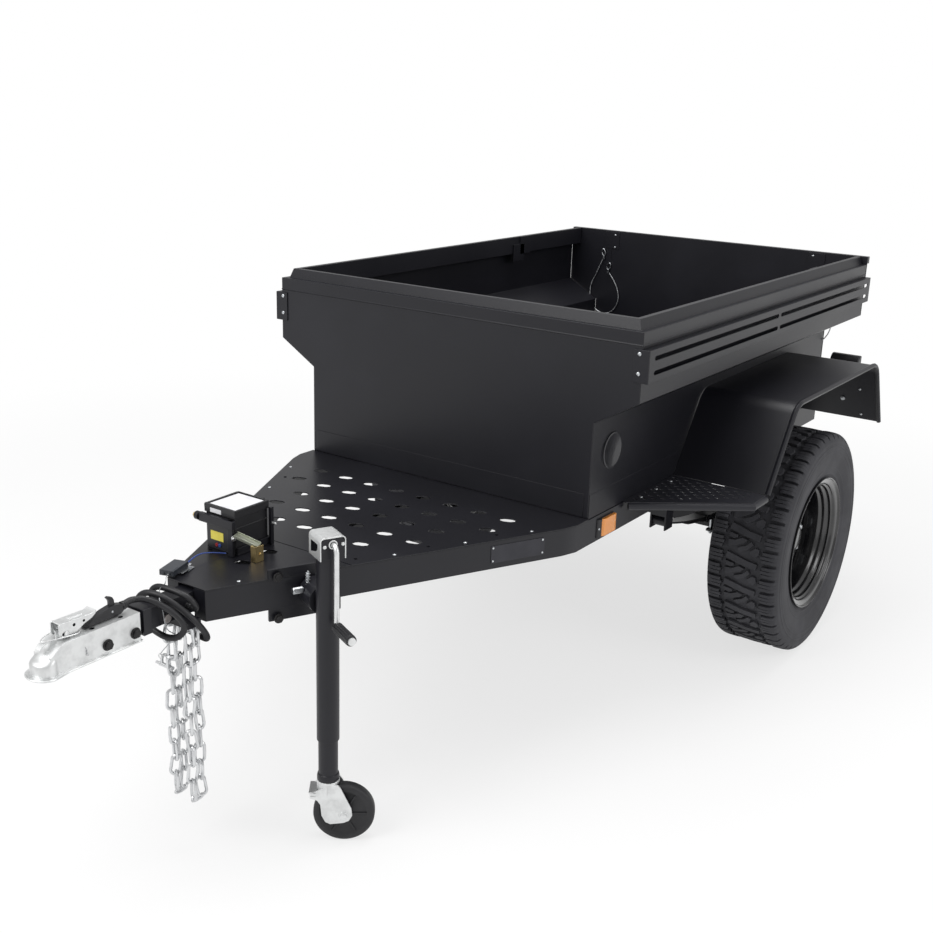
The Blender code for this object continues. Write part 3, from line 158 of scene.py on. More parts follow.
floor_half = 40.0
floor_mesh = bpy.data.meshes.new("floor")
floor_mesh.from_pydata([(x, y, 0.0) for x, y in ((-1, -1), (1, -1), (1, 1), (-1, 1))], [], [(0, 1, 2, 3)])
floor_mesh.transform(Matrix.Scale(floor_half, 4))
floor = bpy.data.objects.new("floor", floor_mesh)
bpy.context.collection.objects.link(floor)
floor_finish = Finish("pale_floor", Base_Color=(0.86, 0.86, 0.86), Roughness=0.9, Specular_IOR_Level=0.1)
floor_reach = floor_finish.node("VectorMath", {"operation": "LENGTH"}, {0: floor_finish.place()},
                                output="Value")
ray = floor_finish.node("LightPath", output="Is Camera Ray")
mirror_ray = floor_finish.node("LightPath", output="Is Glossy Ray")
clear_ray = floor_finish.node("LightPath", output="Is Transmission Ray")
white = floor_finish.node("Emission", (), {"Color": (1.0, 1.0, 1.0), "Strength": 1.0}, output="Emission")
seen = ray.maths("MAXIMUM", mirror_ray.maths("MAXIMUM", clear_ray))
near_lift = 0.7
lifted = floor_reach.over(2.0, 4.5) * 0.3 + near_lift
blended = floor_finish.node("MixShader", (), {0: lifted * seen, 1: floor_finish.principled.outputs[0],
                                              2: white})
floor_finish.join(floor_finish.output.inputs["Surface"], blended)
floor_mesh.materials.append(floor_finish.material)

world = bpy.data.worlds.new("studio")
bpy.context.scene.world = world
world.use_nodes = True
world_nodes = world.node_tree.nodes
world_links = world.node_tree.links
backdrop = world_nodes["Background"]
backdrop.inputs["Color"].default_value = (1.0, 1.0, 1.0, 1.0)
path = world_nodes.new("ShaderNodeLightPath")
shown = world_nodes.new("ShaderNodeMath")
shown.operation = "MAXIMUM"
world_links.new(path.outputs["Is Camera Ray"], shown.inputs[0])
world_links.new(path.outputs["Is Transmission Ray"], shown.inputs[1])
level = world_nodes.new("ShaderNodeMapRange")
level.inputs["To Min"].default_value = 0.6
level.inputs["To Max"].default_value = 1.0
world_links.new(shown.outputs[0], level.inputs["Value"])
world_links.new(level.outputs[0], backdrop.inputs["Strength"])


def soft_light(name, place, target, size, watts):
    """A square area light that faces a point."""
    data = bpy.data.lights.new(name, "AREA")
    data.shape = "SQUARE"
    data.size = size
    data.energy = watts
    light = bpy.data.objects.new(name, data)
    turned = (Vector(place) - Vector(target)).to_track_quat("Z", "Y").to_matrix().to_4x4()
    light.matrix_world = Matrix.Translation(place) @ turned
    bpy.context.collection.objects.link(light)


soft_light("key", (-1.5, -4.5, 4.5), (0.0, 0.0, 0.7), 3.0, 160)
soft_light("side", (5.0, 0.5, 3.0), (0.3, 0.3, 0.7), 2.5, 60)
soft_light("top", (0.0, 0.5, 5.0), (0.0, 0.3, 0.8), 3.0, 110)

# The frame: two rails of box tube bent in to the tongue, with crossmembers between them.  Everything black
# on the trailer is steel under one satin powder coat, which has a fine orange peel and lies thinner on
# edges.
coat_colour = (0.0085, 0.0085, 0.012)
coat_dust = (0.02, 0.02, 0.027)


def powder_coat(name, colour=coat_colour, dust=coat_dust, gloss=0.36, edge=0.0012):
    """Satin powder coat: slow patches in colour and gloss, and an orange peel of 2 mm waves."""
    finish = Finish(name, Metallic=0.0, Specular_IOR_Level=0.38)
    patches = finish.noise(3.0, 3.0, 0.55)
    grain = finish.noise(160.0, 2.0, 0.6)
    finish.tones(patches.over(0.45, 0.85) * 0.35, colour, dust)
    finish.set("Roughness", patches * 0.1 + grain * 0.05 + (gloss - 0.05))
    peel = finish.noise(520.0, 1.0, 0.4)
    finish.relief(peel, 0.0002, 0.5, soft_edge=edge)
    return finish.material


def zinc_plate(name, colour=(0.56, 0.58, 0.6), gloss=0.3, edge=0.0008):
    """Bright zinc: cloudy patches where the plating took unevenly, over brushed steel."""
    finish = Finish(name, Metallic=1.0)
    clouds = finish.noise(28.0, 4.0, 0.6)
    grain = finish.noise(420.0, 2.0, 0.6)
    dull = tuple(0.72 * channel for channel in colour)
    finish.tones(clouds.over(0.4, 0.75) * 0.6, colour, dull)
    finish.set("Roughness", clouds * 0.22 + grain * 0.06 + (gloss - 0.1))
    finish.relief(grain, 0.0001, 0.4, soft_edge=edge)
    return finish.material


def sharp_body(mesh, angle):
    """Marks a body's sharp edges, with its faces all smooth between them."""
    for face in mesh.faces:
        face.smooth = True
    for edge in mesh.edges:
        edge.smooth = len(edge.link_faces) == 2 and edge.calc_face_angle(0.0) < angle


def dressed(name, mesh, look, body, nodes=(), width=0.0, segments=2, angle=math.radians(30)):
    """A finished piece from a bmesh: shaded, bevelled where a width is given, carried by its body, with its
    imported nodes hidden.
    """
    bmesh.ops.recalc_face_normals(mesh, faces=mesh.faces)
    sharp_body(mesh, angle)
    data = bpy.data.meshes.new(name)
    mesh.to_mesh(data)
    mesh.free()
    made = bpy.data.objects.new(name, data)
    bpy.context.collection.objects.link(made)
    data.materials.append(look)
    if width:
        edges = made.modifiers.new("edges", "BEVEL")
        edges.width = width
        edges.segments = segments
        edges.limit_method = "ANGLE"
        edges.angle_limit = angle
        edges.harden_normals = True
    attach(made, body)
    if nodes:
        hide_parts(*nodes)
    return made


def rounded(node, width=0.001, segments=2, angle=math.radians(30), look=None,
            body="trailer_body"):
    """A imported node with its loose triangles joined, flat faces made whole and sharp edges rounded off.

    It is black powder coat on the trailer's body where nothing else is given.
    """
    mesh = bmesh.new()
    mesh.from_mesh(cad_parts[node].data)
    bmesh.ops.remove_doubles(mesh, verts=mesh.verts, dist=0.00002)
    bmesh.ops.dissolve_limit(mesh, angle_limit=math.radians(0.5), verts=mesh.verts, edges=mesh.edges)
    return dressed(node + "_finished", mesh, look or black_coat, body, (node,), width, segments,
                   angle)


def rect(x0, y0, x1, y1):
    return [(x0, y0), (x1, y0), (x1, y1), (x0, y1)]


def whole_turn(count):
    """Even angles round a circle, without the last that would repeat the first."""
    return np.linspace(0, 2 * np.pi, count, endpoint=False)


class Shape:
    """Solids gathered into one mesh.  Points are given from the axle, as in the trailer's own drawing."""

    def __init__(self):
        self.points = []
        self.faces = []
        self.total = 0

    def add(self, points, faces):
        """Points as rows of three numbers, and faces as rows of their numbers."""
        points = np.asarray(points, float).reshape(-1, 3)
        self.faces += [[corner + self.total for corner in face] for face in faces]
        self.points.append(points + (0.0, axle_y, 0.0))
        self.total += len(points)
        return self

    def grid(self, points, closed_rows=False, closed_columns=False, caps=False):
        """Quads through a grid of points, or through many like grids stacked on a first axis.

        The first and last rows are capped if asked.
        """
        points = points[None] if points.ndim == 3 else points
        copies, rows, columns = points.shape[:3]
        row = np.arange(rows - (not closed_rows))[:, None]
        column = np.arange(columns - (not closed_columns))[None, :]
        after, beside = (row + 1) % rows, (column + 1) % columns
        corners = (row * columns + column, row * columns + beside, after * columns + beside,
                   after * columns + column)
        quads = np.stack(np.broadcast_arrays(*corners), -1).reshape(1, -1, 4)
        start = (np.arange(copies) * rows * columns)[:, None, None]
        faces = (quads + start).reshape(-1, 4).tolist()
        if caps:
            ring = np.arange(columns)[None, None]
            faces += (start + ring[..., ::-1]).reshape(-1, columns).tolist()
            faces += (start + ring + (rows - 1) * columns).reshape(-1, columns).tolist()
        return self.add(points, faces)

    def lathe(self, profile, start, axis, segments=32):
        """A profile of (distance, radius) turned about a line; a zero radius closes on the line."""
        distance, radius = np.array(profile, float).T
        along, across, over = axes_of(axis)
        turn = whole_turn(segments)
        ring = np.cos(turn)[:, None] * across + np.sin(turn)[:, None] * over
        points = (np.asarray(start, float) + distance[:, None, None] * along
                  + np.maximum(radius, 1e-6)[:, None, None] * ring[None])
        return self.grid(points, closed_columns=True)

    def rod(self, near, far, radius, start, axis, segments=32):
        """A plain round bar along a line, between two distances from its start."""
        return self.lathe([(near, 0), (near, radius), (far, radius), (far, 0)], start, axis, segments)

    def tube(self, path, radius, sides=8, closed=False):
        """A round bar along a path, its ring carried from point to point without twisting."""
        route = np.asarray(path, float)
        if closed:
            run = np.roll(route, -1, 0) - np.roll(route, 1, 0)
        else:
            run = np.gradient(route, axis=0)
        run /= np.linalg.norm(run, axis=1)[:, None]
        across = [axes_of(run[0])[1]]
        for ahead in run[1:]:
            turned = across[-1] - ahead * across[-1].dot(ahead)
            across.append(turned / np.linalg.norm(turned))
        across = np.array(across)
        over = np.cross(run, across)
        turn = whole_turn(sides)
        girth = np.broadcast_to(np.asarray(radius, float), len(route))[:, None, None]
        points = (route[:, None] + girth * (np.cos(turn)[None, :, None] * across[:, None]
                                            + np.sin(turn)[None, :, None] * over[:, None]))
        return self.grid(points, closed_rows=closed, closed_columns=True, caps=not closed)

    def slab(self, outline, low, high, start=(0, 0, 0), first=(1, 0, 0), second=(0, 1, 0)):
        """A flat outline pulled from low to high, square to its two directions."""
        first, second = np.asarray(first, float), np.asarray(second, float)
        flat = np.asarray(outline, float)
        base = np.asarray(start, float) + flat[:, :1] * first + flat[:, 1:] * second
        normal = np.cross(first, second)
        return self.grid(np.stack([base + normal * low, base + normal * high]), closed_columns=True,
                         caps=True)

    def side_view(self, outline, low, high):
        """An outline of (y, z) pulled across the trailer from x = low to x = high."""
        return self.slab(outline, low, high, (0, 0, 0), (0, 1, 0), (0, 0, 1))

    def box(self, low, high):
        """A block between two opposite corners."""
        (x0, y0, z0), (x1, y1, z1) = low, high
        return self.slab(rect(x0, y0, x1, y1), z0, z1)

    def finish(self, name, look=None, slot="black_coat", nodes=(), width=0.0, segments=2,
               angle=math.radians(30), body="trailer_body"):
        """The gathered solids as one piece: powder coat on the trailer's body where nothing else is given."""
        loose = bpy.data.meshes.new(name)
        loose.from_pydata(np.concatenate(self.points).tolist(), [], self.faces)
        mesh = bmesh.new()
        mesh.from_mesh(loose)
        bpy.data.meshes.remove(loose)
        bmesh.ops.remove_doubles(mesh, verts=mesh.verts, dist=0.000005)
        return dressed(name, mesh, look or black_coat, body, nodes, width, segments, angle)


def axes_of(direction):
    """A unit direction with two more square to it."""
    ahead = np.asarray(direction, float)
    ahead = ahead / np.linalg.norm(ahead)
    guide = np.array((0.0, 0.0, 1.0)) if abs(ahead[2]) < 0.7 else np.array((1.0, 0.0, 0.0))
    across = np.cross(guide, ahead)
    across /= np.linalg.norm(across)
    return ahead, across, np.cross(ahead, across)


def hexagon(radius):
    angle = np.arange(6) * np.pi / 3
    return np.stack([radius * np.cos(angle), radius * np.sin(angle)], 1)


def add_rivet(shape, place, out, radius=0.0048, height=0.0022):
    """A domed head on a surface."""
    rise = np.linspace(0, 1, 5)
    shape.lathe([(-0.001, radius)] + [(height * a, radius * math.sqrt(1 - a * a)) for a in rise], place,
                out, 16)


def add_bolt(shape, place, out, size):
    """A flanged hexagon head on a surface, sized by its thread."""
    ahead, across, over = axes_of(out)
    place = np.asarray(place, float)
    shape.lathe([(-0.001, 0), (-0.001, size * 1.15), (size * 0.16, size * 1.15), (size * 0.24, size),
                 (size * 0.24, 0)], place, out, 24)
    shape.slab(hexagon(size * 0.92), 0, size * 0.72, place, across, over)
    shape.lathe([(size * 0.5, 0), (size * 0.5, size * 0.78), (size * 0.78, size * 0.62), (size * 0.78, 0)],
                place, out, 12)


axle_y = 0.8385
sides = (("left", 1), ("right", -1))
black_coat = powder_coat("black_powder_coat")
zinc = zinc_plate("bright_zinc")
for node in ("frame_rail_left", "frame_rail_right", "crossmember_front", "crossmember_mid",
             "crossmember_rear", "tongue_tube"):
    rounded(node, 0.003, 3)


# The deck: plain steel plates on the tongue's arms, riveted down along both edges.  A blank data plate
# sits on the left arm, and small bolts hang under the rail behind the bend.
arm_along = np.array((0.43373, 0.90105, 0.0))
arm_out = np.array((0.90105, -0.43373, 0.0))
arm_nose = np.array((0.063, -2.023, 0.0))
deck_top_z = 0.6695


def on_arm(along, out, z, sign=1):
    """A place by the tongue's arm, from its nose corner along and out, on either side."""
    place = arm_nose + arm_along * along + arm_out * out + (0.0, 0.0, z)
    return place * (sign, 1.0, 1.0)


def grained(name, first, second, clouds, grain_scale, gloss, ripple, bite=0.6, soft_edge=None, **constants):
    """Slow clouds between two colours, under a fine grain that shows in the gloss and the relief."""
    finish = Finish(name, **constants)
    grain = finish.noise(grain_scale, 2.0, bite)
    finish.tones(finish.noise(clouds, 3.0), first, second)
    finish.set("Roughness", grain * gloss[0] + gloss[1])
    finish.relief(grain, *ripple, soft_edge=soft_edge)
    return finish.material


def speckled(name, first, second, clouds, shine, gloss, **constants):
    """Clouds between two colours, and a gloss that varies by a noise of its own."""
    finish = Finish(name, **constants)
    finish.tones(finish.noise(*clouds), first, second)
    finish.set("Roughness", finish.noise(shine) * gloss[0] + gloss[1])
    return finish.material


# Holes, slots and the jack cover's window are drawn as flat near-black sheets just over their surfaces:
# painted shade standing for the dark inside each opening. The same dark also draws the seam between the two
# deck plates, a dark joint.
hole_shade_and_joint = Finish("painted_hole_shade_and_dark_joint", Roughness=0.95, Specular_IOR_Level=0.05)
hole_shade_and_joint.tones(hole_shade_and_joint.noise(60.0), (0.0015, 0.0015, 0.002), (0.006, 0.006, 0.008))
hole_shade_and_joint_look = hole_shade_and_joint.material
deck_coat = powder_coat("deck_powder_coat", (0.0085, 0.0085, 0.0115), (0.022, 0.022, 0.029), 0.31)
for node in ("deck_front_plate", "deck_main_plate"):
    rounded(node, 0.0008, look=deck_coat)
zinc_heads = Shape()
hole_shade_and_seam = Shape()
for side, sign in sides:
    for along in (0.088, 0.29, 0.492, 0.694, 0.896):
        add_rivet(zinc_heads, on_arm(along, -0.02, deck_top_z, sign), (0, 0, 1), 0.0052)
    # Between the rivets, dark discs with a thin lip: painted shade of holes in the deck.
    for along in (0.19, 0.392, 0.594, 0.796):
        spot = on_arm(along, -0.034, deck_top_z, sign)
        hole_shade_and_seam.lathe([(0.0001, 0), (0.0001, 0.004), (0.0005, 0.0044), (0.0005, 0.0046),
                          (-0.001, 0.0048)], spot, (0, 0, 1), 14)
# A dark strip along the seam between the front and main plates: a dark joint.
hole_shade_and_seam.box((-0.221, -1.6932, deck_top_z - 0.001), (0.221, -1.6908, deck_top_z + 0.0002))
hole_shade_and_seam.finish("deck_hole_shade_and_seam", hole_shade_and_joint_look)

wall_fold = Shape()
wall_fold.box((-0.485, -1.0294, 0.6712), (0.485, -1.0282, 0.739))
wall_fold.finish("front_wall_fold", width=0.001)
plate_start = 0.76
plate_length = 0.164
plate_low, plate_high = 0.607, 0.655
data_plate = Shape()
corners = [on_arm(plate_start + plate_length * a, 0.0004, 0, 1)[:2] for a in (0, 1)]
corners += [on_arm(plate_start + plate_length * a, 0.0016, 0, 1)[:2] for a in (1, 0)]
data_plate.slab(corners, plate_low, plate_high)
for along in (plate_start + 0.006, plate_start + plate_length - 0.006):
    for z in (plate_low + 0.006, plate_high - 0.006):
        add_rivet(zinc_heads, on_arm(along, 0.0014, z), arm_out, 0.003, 0.0018)
data_look = grained("blank_data_plate", (0.03, 0.03, 0.036), (0.052, 0.052, 0.06), 24.0, 900.0,
                    (0.12, 0.28), (0.00008, 0.4), 0.7, 0.0006, Metallic=0.6)
data_plate.finish("data_plate", data_look, "gloss_black", width=0.0006)

eyes = Shape()
for side, sign in sides:
    for y in (-1.03, -0.767):
        add_bolt(eyes, (sign * 0.474, y, 0.5912), (0, 0, -1), 0.009)
eyes.finish("under_bolts", zinc, "zinc")

# The tub: folded sheet, with a hat rail on each upper wall and a deep rail round its top.  Two bolts hold
# each rail's end plate, and a blank round badge sits on each side.
for node in ("tub_floor", "tub_front_panel", "tub_side_left", "tub_side_right"):
    rounded(node, 0.0016)
for node in ("top_rail", "side_channel_left", "side_channel_right"):
    rounded(node, 0.0022, 3)
for side, sign in sides:
    rounded(f"channel_end_{side}")
    for z in (1.1485, 1.096):
        add_rivet(zinc_heads, (sign * 0.6225, -1.0314, z), (0, -1, 0), 0.0058, 0.003)

badge_look = speckled("blank_badge", (0.014, 0.014, 0.017), (0.026, 0.026, 0.03), (30.0, 3.0), 80.0,
                      (0.1, 0.3), Coat_Weight=0.3, Coat_Roughness=0.12)
for side, sign in sides:
    badge = Shape()
    turned = [(0.0, 0.0), (0.0003, 0.0), (0.0003, 0.044), (0.0012, 0.0456), (0.0012, 0.05),
              (0.0006, 0.0518), (-0.0036, 0.0522)]
    badge.lathe(turned, (sign * 0.5042, -0.915, 0.8415), (sign, 0, 0), 72)
    badge.finish(f"badge_{side}", badge_look, "gloss_black")

# Inside the tub: a plate for each latch, riveted to the tailgate near its top, with a steel lanyard that
# hangs from it by two spring hooks, and a folded tab on each long wall.
gate_face_y = 0.758
lanyard_r = 0.0022
steel_rope = Finish("steel_rope", Metallic=1.0)
strands = steel_rope.node("TexWave", {"bands_direction": "DIAGONAL"},
                          {"Vector": steel_rope.place(), "Scale": 260.0, "Distortion": 0.5}, output="Fac")
steel_rope.tones(strands, (0.3, 0.31, 0.32), (0.62, 0.63, 0.65))
steel_rope.set("Roughness", strands * 0.15 + 0.3)
steel_rope.relief(strands, 0.0004, 0.8)


def smooth_path(points, step):
    """A path of even steps through a few points, rounded by a cubic between each pair."""
    knots = np.asarray(points, float)
    padded = np.concatenate([2 * knots[:1] - knots[1:2], knots, 2 * knots[-1:] - knots[-2:-1]])
    share = np.linspace(0, 1, 24, endpoint=False)[:, None]
    spans = []
    for a, b, c, d in zip(padded, padded[1:], padded[2:], padded[3:]):
        spans.append(b
                     + 0.5 * share * (c - a
                                      + share * (2 * a - 5 * b + 4 * c - d
                                                 + share * (3 * (b - c) + d - a))))
    fine = np.concatenate([*spans, knots[-1:]])
    gone = np.concatenate([[0], np.cumsum(np.linalg.norm(np.diff(fine, axis=0), axis=1))])
    count = max(3, int(round(gone[-1] / step)) + 1)
    even = np.linspace(0, gone[-1], count)
    return np.stack([np.interp(even, gone, fine[:, axis]) for axis in range(3)], 1)


for side, sign in sides:
    gate_plate = Shape()
    gate_plate.slab(rect(-0.033, 1.16, 0.033, 1.2285), 0.0003, 0.003, (sign * 0.438, gate_face_y, 0),
                    (1, 0, 0), (0, 0, 1))
    for x, z in ((0.47, 1.15), (0.446, 1.096)):
        gate_plate.slab(rect(-0.007, z - 0.008, 0.007, 1.162), 0.0003, 0.0024, (sign * x, gate_face_y, 0),
                        (1, 0, 0), (0, 0, 1))
    gate_plate.finish(f"latch_plate_{side}", width=0.0006, body="tailgate")
    gate_rivets = Shape()
    for z in (1.216, 1.166):
        add_rivet(gate_rivets, (sign * 0.424, gate_face_y - 0.003, z), (0, -1, 0), 0.0042)
    hooks = Shape()
    for x, z, lean in ((0.472, 1.148, 0.5), (0.444, 1.092, -0.5)):
        turn = np.linspace(0.3, 2 * np.pi - 0.1, 22)
        eye = np.stack([sign * (x + 0.0075 * np.cos(turn) + lean * 0.4 * (0.012 * np.sin(turn))),
                        np.full(22, gate_face_y - 0.0085), z - 0.006 + 0.014 * np.sin(turn)], 1)
        hooks.tube(eye, 0.0018, 8)
        hooks.lathe([(0, 0), (0, 0.004), (0.016, 0.004), (0.018, 0.003), (0.018, 0)],
                    (sign * x, gate_face_y - 0.0085, z - 0.018), (-sign * lean * 0.3, 0, -1), 12)
    hook_pair = hooks.finish(f"spring_hooks_{side}", zinc, "zinc", body="tailgate")
    gate_rivets.finish(f"latch_rivets_{side}", zinc, "zinc", body="tailgate")
    loop_points = [(0.474, 1.114), (0.5, 1.052), (0.524, 0.998), (0.522, 0.94), (0.492, 0.897),
                   (0.452, 0.886), (0.412, 0.903), (0.389, 0.95), (0.398, 0.998), (0.424, 1.04),
                   (0.44, 1.058)]
    loop = smooth_path([(sign * x, gate_face_y - 0.0085, z) for x, z in loop_points], 0.018)
    lanyard = Shape().tube(loop, lanyard_r, 8).finish(f"lanyard_{side}", steel_rope.material, "zinc",
                                                      body="tailgate")
    tab = Shape()
    tab.box((sign * 0.585 - 0.0015, 0.272, 1.165), (sign * 0.585 + 0.0015, 0.345, 1.233))
    tab.box((sign * 0.585 - 0.0015, 0.225, 1.14), (sign * 0.585 + 0.0015, 0.3, 1.205))
    tab.finish(f"wall_tab_{side}", width=0.0006)

# The tailgate: one sheet with folded edges on a rod hinge, with an over-centre latch at each upper corner.
rounded("tailgate", 0.0012, body="tailgate")
hinge_rod = Shape()
for side, sign in sides:
    for near, far, radius in ((0, 0.122, 0.0036), (-0.003, 0.0, 0.0062)):
        hinge_rod.rod(near, far, radius, (sign * 0.32, 0.771, 0.6455), (sign, 0, 0), 12)
hinge_rod.finish("hinge_rods", zinc, "zinc")
for side, sign in sides:
    latch = Shape()
    latch.slab(rect(-0.015, -0.03, 0.015, 0.03), 0.0003, 0.0022,
               (sign * 0.575, gate_face_y + 0.0024, 1.09), (-1, 0, 0), (0, 0, 1))
    latch.slab([(-0.009, -0.026), (0.009, -0.026), (0.007, 0.03), (-0.007, 0.03)], 0.006, 0.0082,
               (sign * 0.575, gate_face_y + 0.0024, 1.088), (-1, 0, 0), (0, 0, 1))
    for z in (1.068, 1.11):
        latch.rod(-0.011, 0.011, 0.0032, (sign * 0.575, gate_face_y + 0.0066, z), (1, 0, 0), 10)
    latch.finish(f"corner_latch_{side}", zinc, "zinc", width=0.0005, body="tailgate")

# The fenders: one bent sheet each with a rolled outer bead, bolted inside, and two rivets on its rear
# slope.
for side, sign in sides:
    rounded(f"fender_{side}", 0.0008)
    slope = np.array((0.0, 0.234, 0.119)) / math.hypot(0.234, 0.119)
    for y, z in ((0.4885, 0.8008), (0.5405, 0.6988)):
        add_rivet(zinc_heads, (sign * 0.744, y, z) - slope * 0.0035, -slope, 0.0048)
    add_bolt(zinc_heads, (sign * 0.68, 0.5125, 0.754) - slope * 0.0035, -slope, 0.007)

# The step plates: flat sheet with oval holes over a bent tube, riveted to the rail with stemmed rivets.
step_coat = powder_coat("step_powder_coat", (0.016, 0.016, 0.021), (0.034, 0.034, 0.041), 0.4)
for side, sign in sides:
    rounded(f"step_plate_{side}", 0.0009, angle=math.radians(38), look=step_coat)
    for y in (-0.762, -0.665, -0.568):
        add_rivet(zinc_heads, (sign * 0.526, y, deck_top_z), (0, 0, 1), 0.0056, 0.003)

zinc_heads.finish("zinc_rivets", zinc, "zinc")

# The tyres: all-terrain rubber.  The carcass is turned, with ribs and a band of fine ridges on its
# sidewalls; the shoulder lugs wrap over the edge and are split by sipes, and angular blocks interlock
# between them.
wheel_x = 0.697
wheel_z = 0.372
tread_r = 0.3722
floor_r = 0.362
lug_pitches = 50


def tyre_rubber():
    """Black rubber, greyed by dust in a slow cloud, with a fine matte grain."""
    finish = Finish("tyre_rubber_look", Specular_IOR_Level=0.35)
    clouds = finish.noise(9.0, 4.0, 0.6)
    grain = finish.noise(700.0, 2.0, 0.6)
    finish.tones(clouds.over(0.35, 0.75), (0.03, 0.03, 0.035), (0.05, 0.05, 0.057))
    finish.set("Roughness", grain * 0.12 + 0.6)
    finish.relief(grain, 0.0002, 0.5)
    return finish.material


def wheel_points(sign, x, r, turn):
    """Wheel coordinates (across, radius, turn) as places beside the axle."""
    x, r, turn = np.broadcast_arrays(x, r, turn)
    return np.stack([sign * (wheel_x + x), r * np.cos(turn), wheel_z + r * np.sin(turn)], -1)


def carcass(shape, sign):
    """Rings of a bulged sidewall with four narrow ribs, then the slightly crowned floor of the tread."""
    r = np.linspace(0.219, 0.345, 64)
    share = (r - 0.219) / (0.345 - 0.219)
    x = 0.1035 + 0.0172 * np.sin(np.pi * np.clip(share * 1.18, 0, 1) * 0.5)
    x = x - 0.0022 * np.clip(share - 0.6, 0, 1) * 2
    for rib_r, width, height in ((0.235, 0.0035, 0.0022), (0.252, 0.0012, 0.0008), (0.257, 0.0012, 0.0008),
                                 (0.312, 0.0016, 0.001), (0.329, 0.002, 0.0014)):
        x = x + height * np.exp(-((r - rib_r) / width) ** 2)
    crown_x = np.linspace(0.112, 0.0, 12)
    crown_r = floor_r - 0.003 * (crown_x / 0.112) ** 2
    half = np.concatenate([np.stack([x, r], 1), [(0.1165, 0.352)], np.stack([crown_x, crown_r], 1)])
    profile = np.concatenate([half, half[-2::-1] * (-1, 1)])
    turn = whole_turn(180)
    shape.grid(wheel_points(sign, profile[:, None, 0], profile[:, None, 1], turn[None]),
               closed_columns=True)


def shoulder_lugs(shape, sign, side, phase):
    """Each lug is three fingers of rubber along one profile, which part at the sipes and merge outside them.

    Across a finger the section is floor, rounded edge, top, rounded edge, floor.
    """
    path = np.array([(0.06, 0.36), (0.0608, 0.3705), (0.064, 0.3722), (0.076, 0.3722), (0.088, 0.3719),
                     (0.096, 0.3713), (0.1035, 0.37), (0.1085, 0.3672), (0.1125, 0.362), (0.1155, 0.355),
                     (0.1182, 0.346), (0.1196, 0.337), (0.119, 0.331)])
    sink = np.array([0.0] + [0.012] * (len(path) - 2) + [0.001])
    merged = np.clip((path[:, 0] - 0.092) / 0.006, 0, 1)
    lug_half = math.pi / lug_pitches * 0.79
    section = np.array([(-1, 1.0), (-1, 0.1), (-0.93, 0), (0.93, 0), (1, 0.1), (1, 1.0)])
    lug = np.arange(lug_pitches)
    for finger in (-1, 0, 1):
        reach = path.copy()
        reach[:5, 0] += 0.005 * abs(finger) * np.linspace(1, 0.2, 5)
        middle = finger * lug_half * 2 / 3
        half = lug_half / 3 - (1 - merged) * 0.0008 / tread_r
        turn = middle + section[None, :, 0] * half[:, None]
        drop = section[None, :, 1] * sink[:, None]
        steep = np.clip((reach[:, 0] - 0.1) / 0.018, 0, 1)[:, None]
        x = reach[:, :1] - drop * 0.55 * steep
        r = reach[:, 1:] - drop * (1 - 0.75 * steep)
        x = x[None] + 0.004 * (lug % 2)[:, None, None] * (1 - merged)[None, :, None]
        around = turn[None] + (lug * 2 * np.pi / lug_pitches + phase)[:, None, None]
        shape.grid(wheel_points(sign, side * x, r[None], around))


def centre_blocks(shape, sign):
    """Angular blocks that interlock across the middle, one set to two lugs.

    Each outline is (share of the set's turn, share of the half width).  Its walls are straight, and its upper
    edge is rounded.
    """
    outlines = ([(0.03, -0.93), (0.26, -1.0), (0.36, -0.4), (0.44, 0.2), (0.5, 0.93), (0.28, 1.0),
                 (0.22, 0.3), (0.12, -0.3)], [(0.36, -0.98), (0.52, -0.93), (0.57, -0.62), (0.5, -0.4),
                                              (0.41, -0.42)],
                [(0.62, -0.98), (0.88, -0.93), (0.8, -0.52), (0.66, 0.06), (0.52, 0.26), (0.47, -0.1),
                 (0.6, -0.52)], [(0.87, -0.4), (0.99, -0.14), (0.85, 0.34), (0.66, 0.62), (0.55, 0.46),
                                 (0.71, 0.18)], [(0.72, 0.76), (0.88, 0.46), (1.02, 0.52), (1.06, 0.88),
                                                 (0.94, 1.04), (0.76, 0.98)])
    set_turn = 4 * np.pi / lug_pitches
    half_width = 0.0535
    starts = np.arange(lug_pitches // 2) * set_turn
    for outline in outlines:
        flat = np.array(outline) * (set_turn, half_width)
        middle = flat.mean(0)
        size = np.abs(flat - middle).max(0)
        rings = []
        for inset, r in ((0.0, floor_r - 0.002), (0.0004, tread_r - 0.0012), (0.0016, tread_r)):
            shrink = 1 - inset / (size * (tread_r, 1))
            rings.append(np.column_stack([middle + (flat - middle) * shrink, np.full(len(flat), r)]))
        rings = np.array(rings)
        turn = rings[None, ..., 0] + starts[:, None, None]
        r = rings[None, ..., 2] - 0.0012 * (rings[None, ..., 1] / half_width) ** 2
        shape.grid(wheel_points(sign, rings[None, ..., 1], r, turn), closed_columns=True, caps=True)


rubber_look = tyre_rubber()
for side, sign in sides:
    tyre = Shape()
    carcass(tyre, sign)
    shoulder_lugs(tyre, sign, 1, 0.0)
    shoulder_lugs(tyre, sign, -1, math.pi / lug_pitches)
    centre_blocks(tyre, sign)
    tyre.finish(f"tyre_{side}_look", rubber_look, "tyre_rubber", (f"tyre_{side}",), angle=math.radians(38),
                body=f"wheel_{side}")

# The rims: 16-inch steel wheels in gloss black, deeply dished.  The barrel is rolled with its bead seat and
# steps, and the pressed disc has eight D-shaped windows; the hub carries six nuts on studs and a cap.


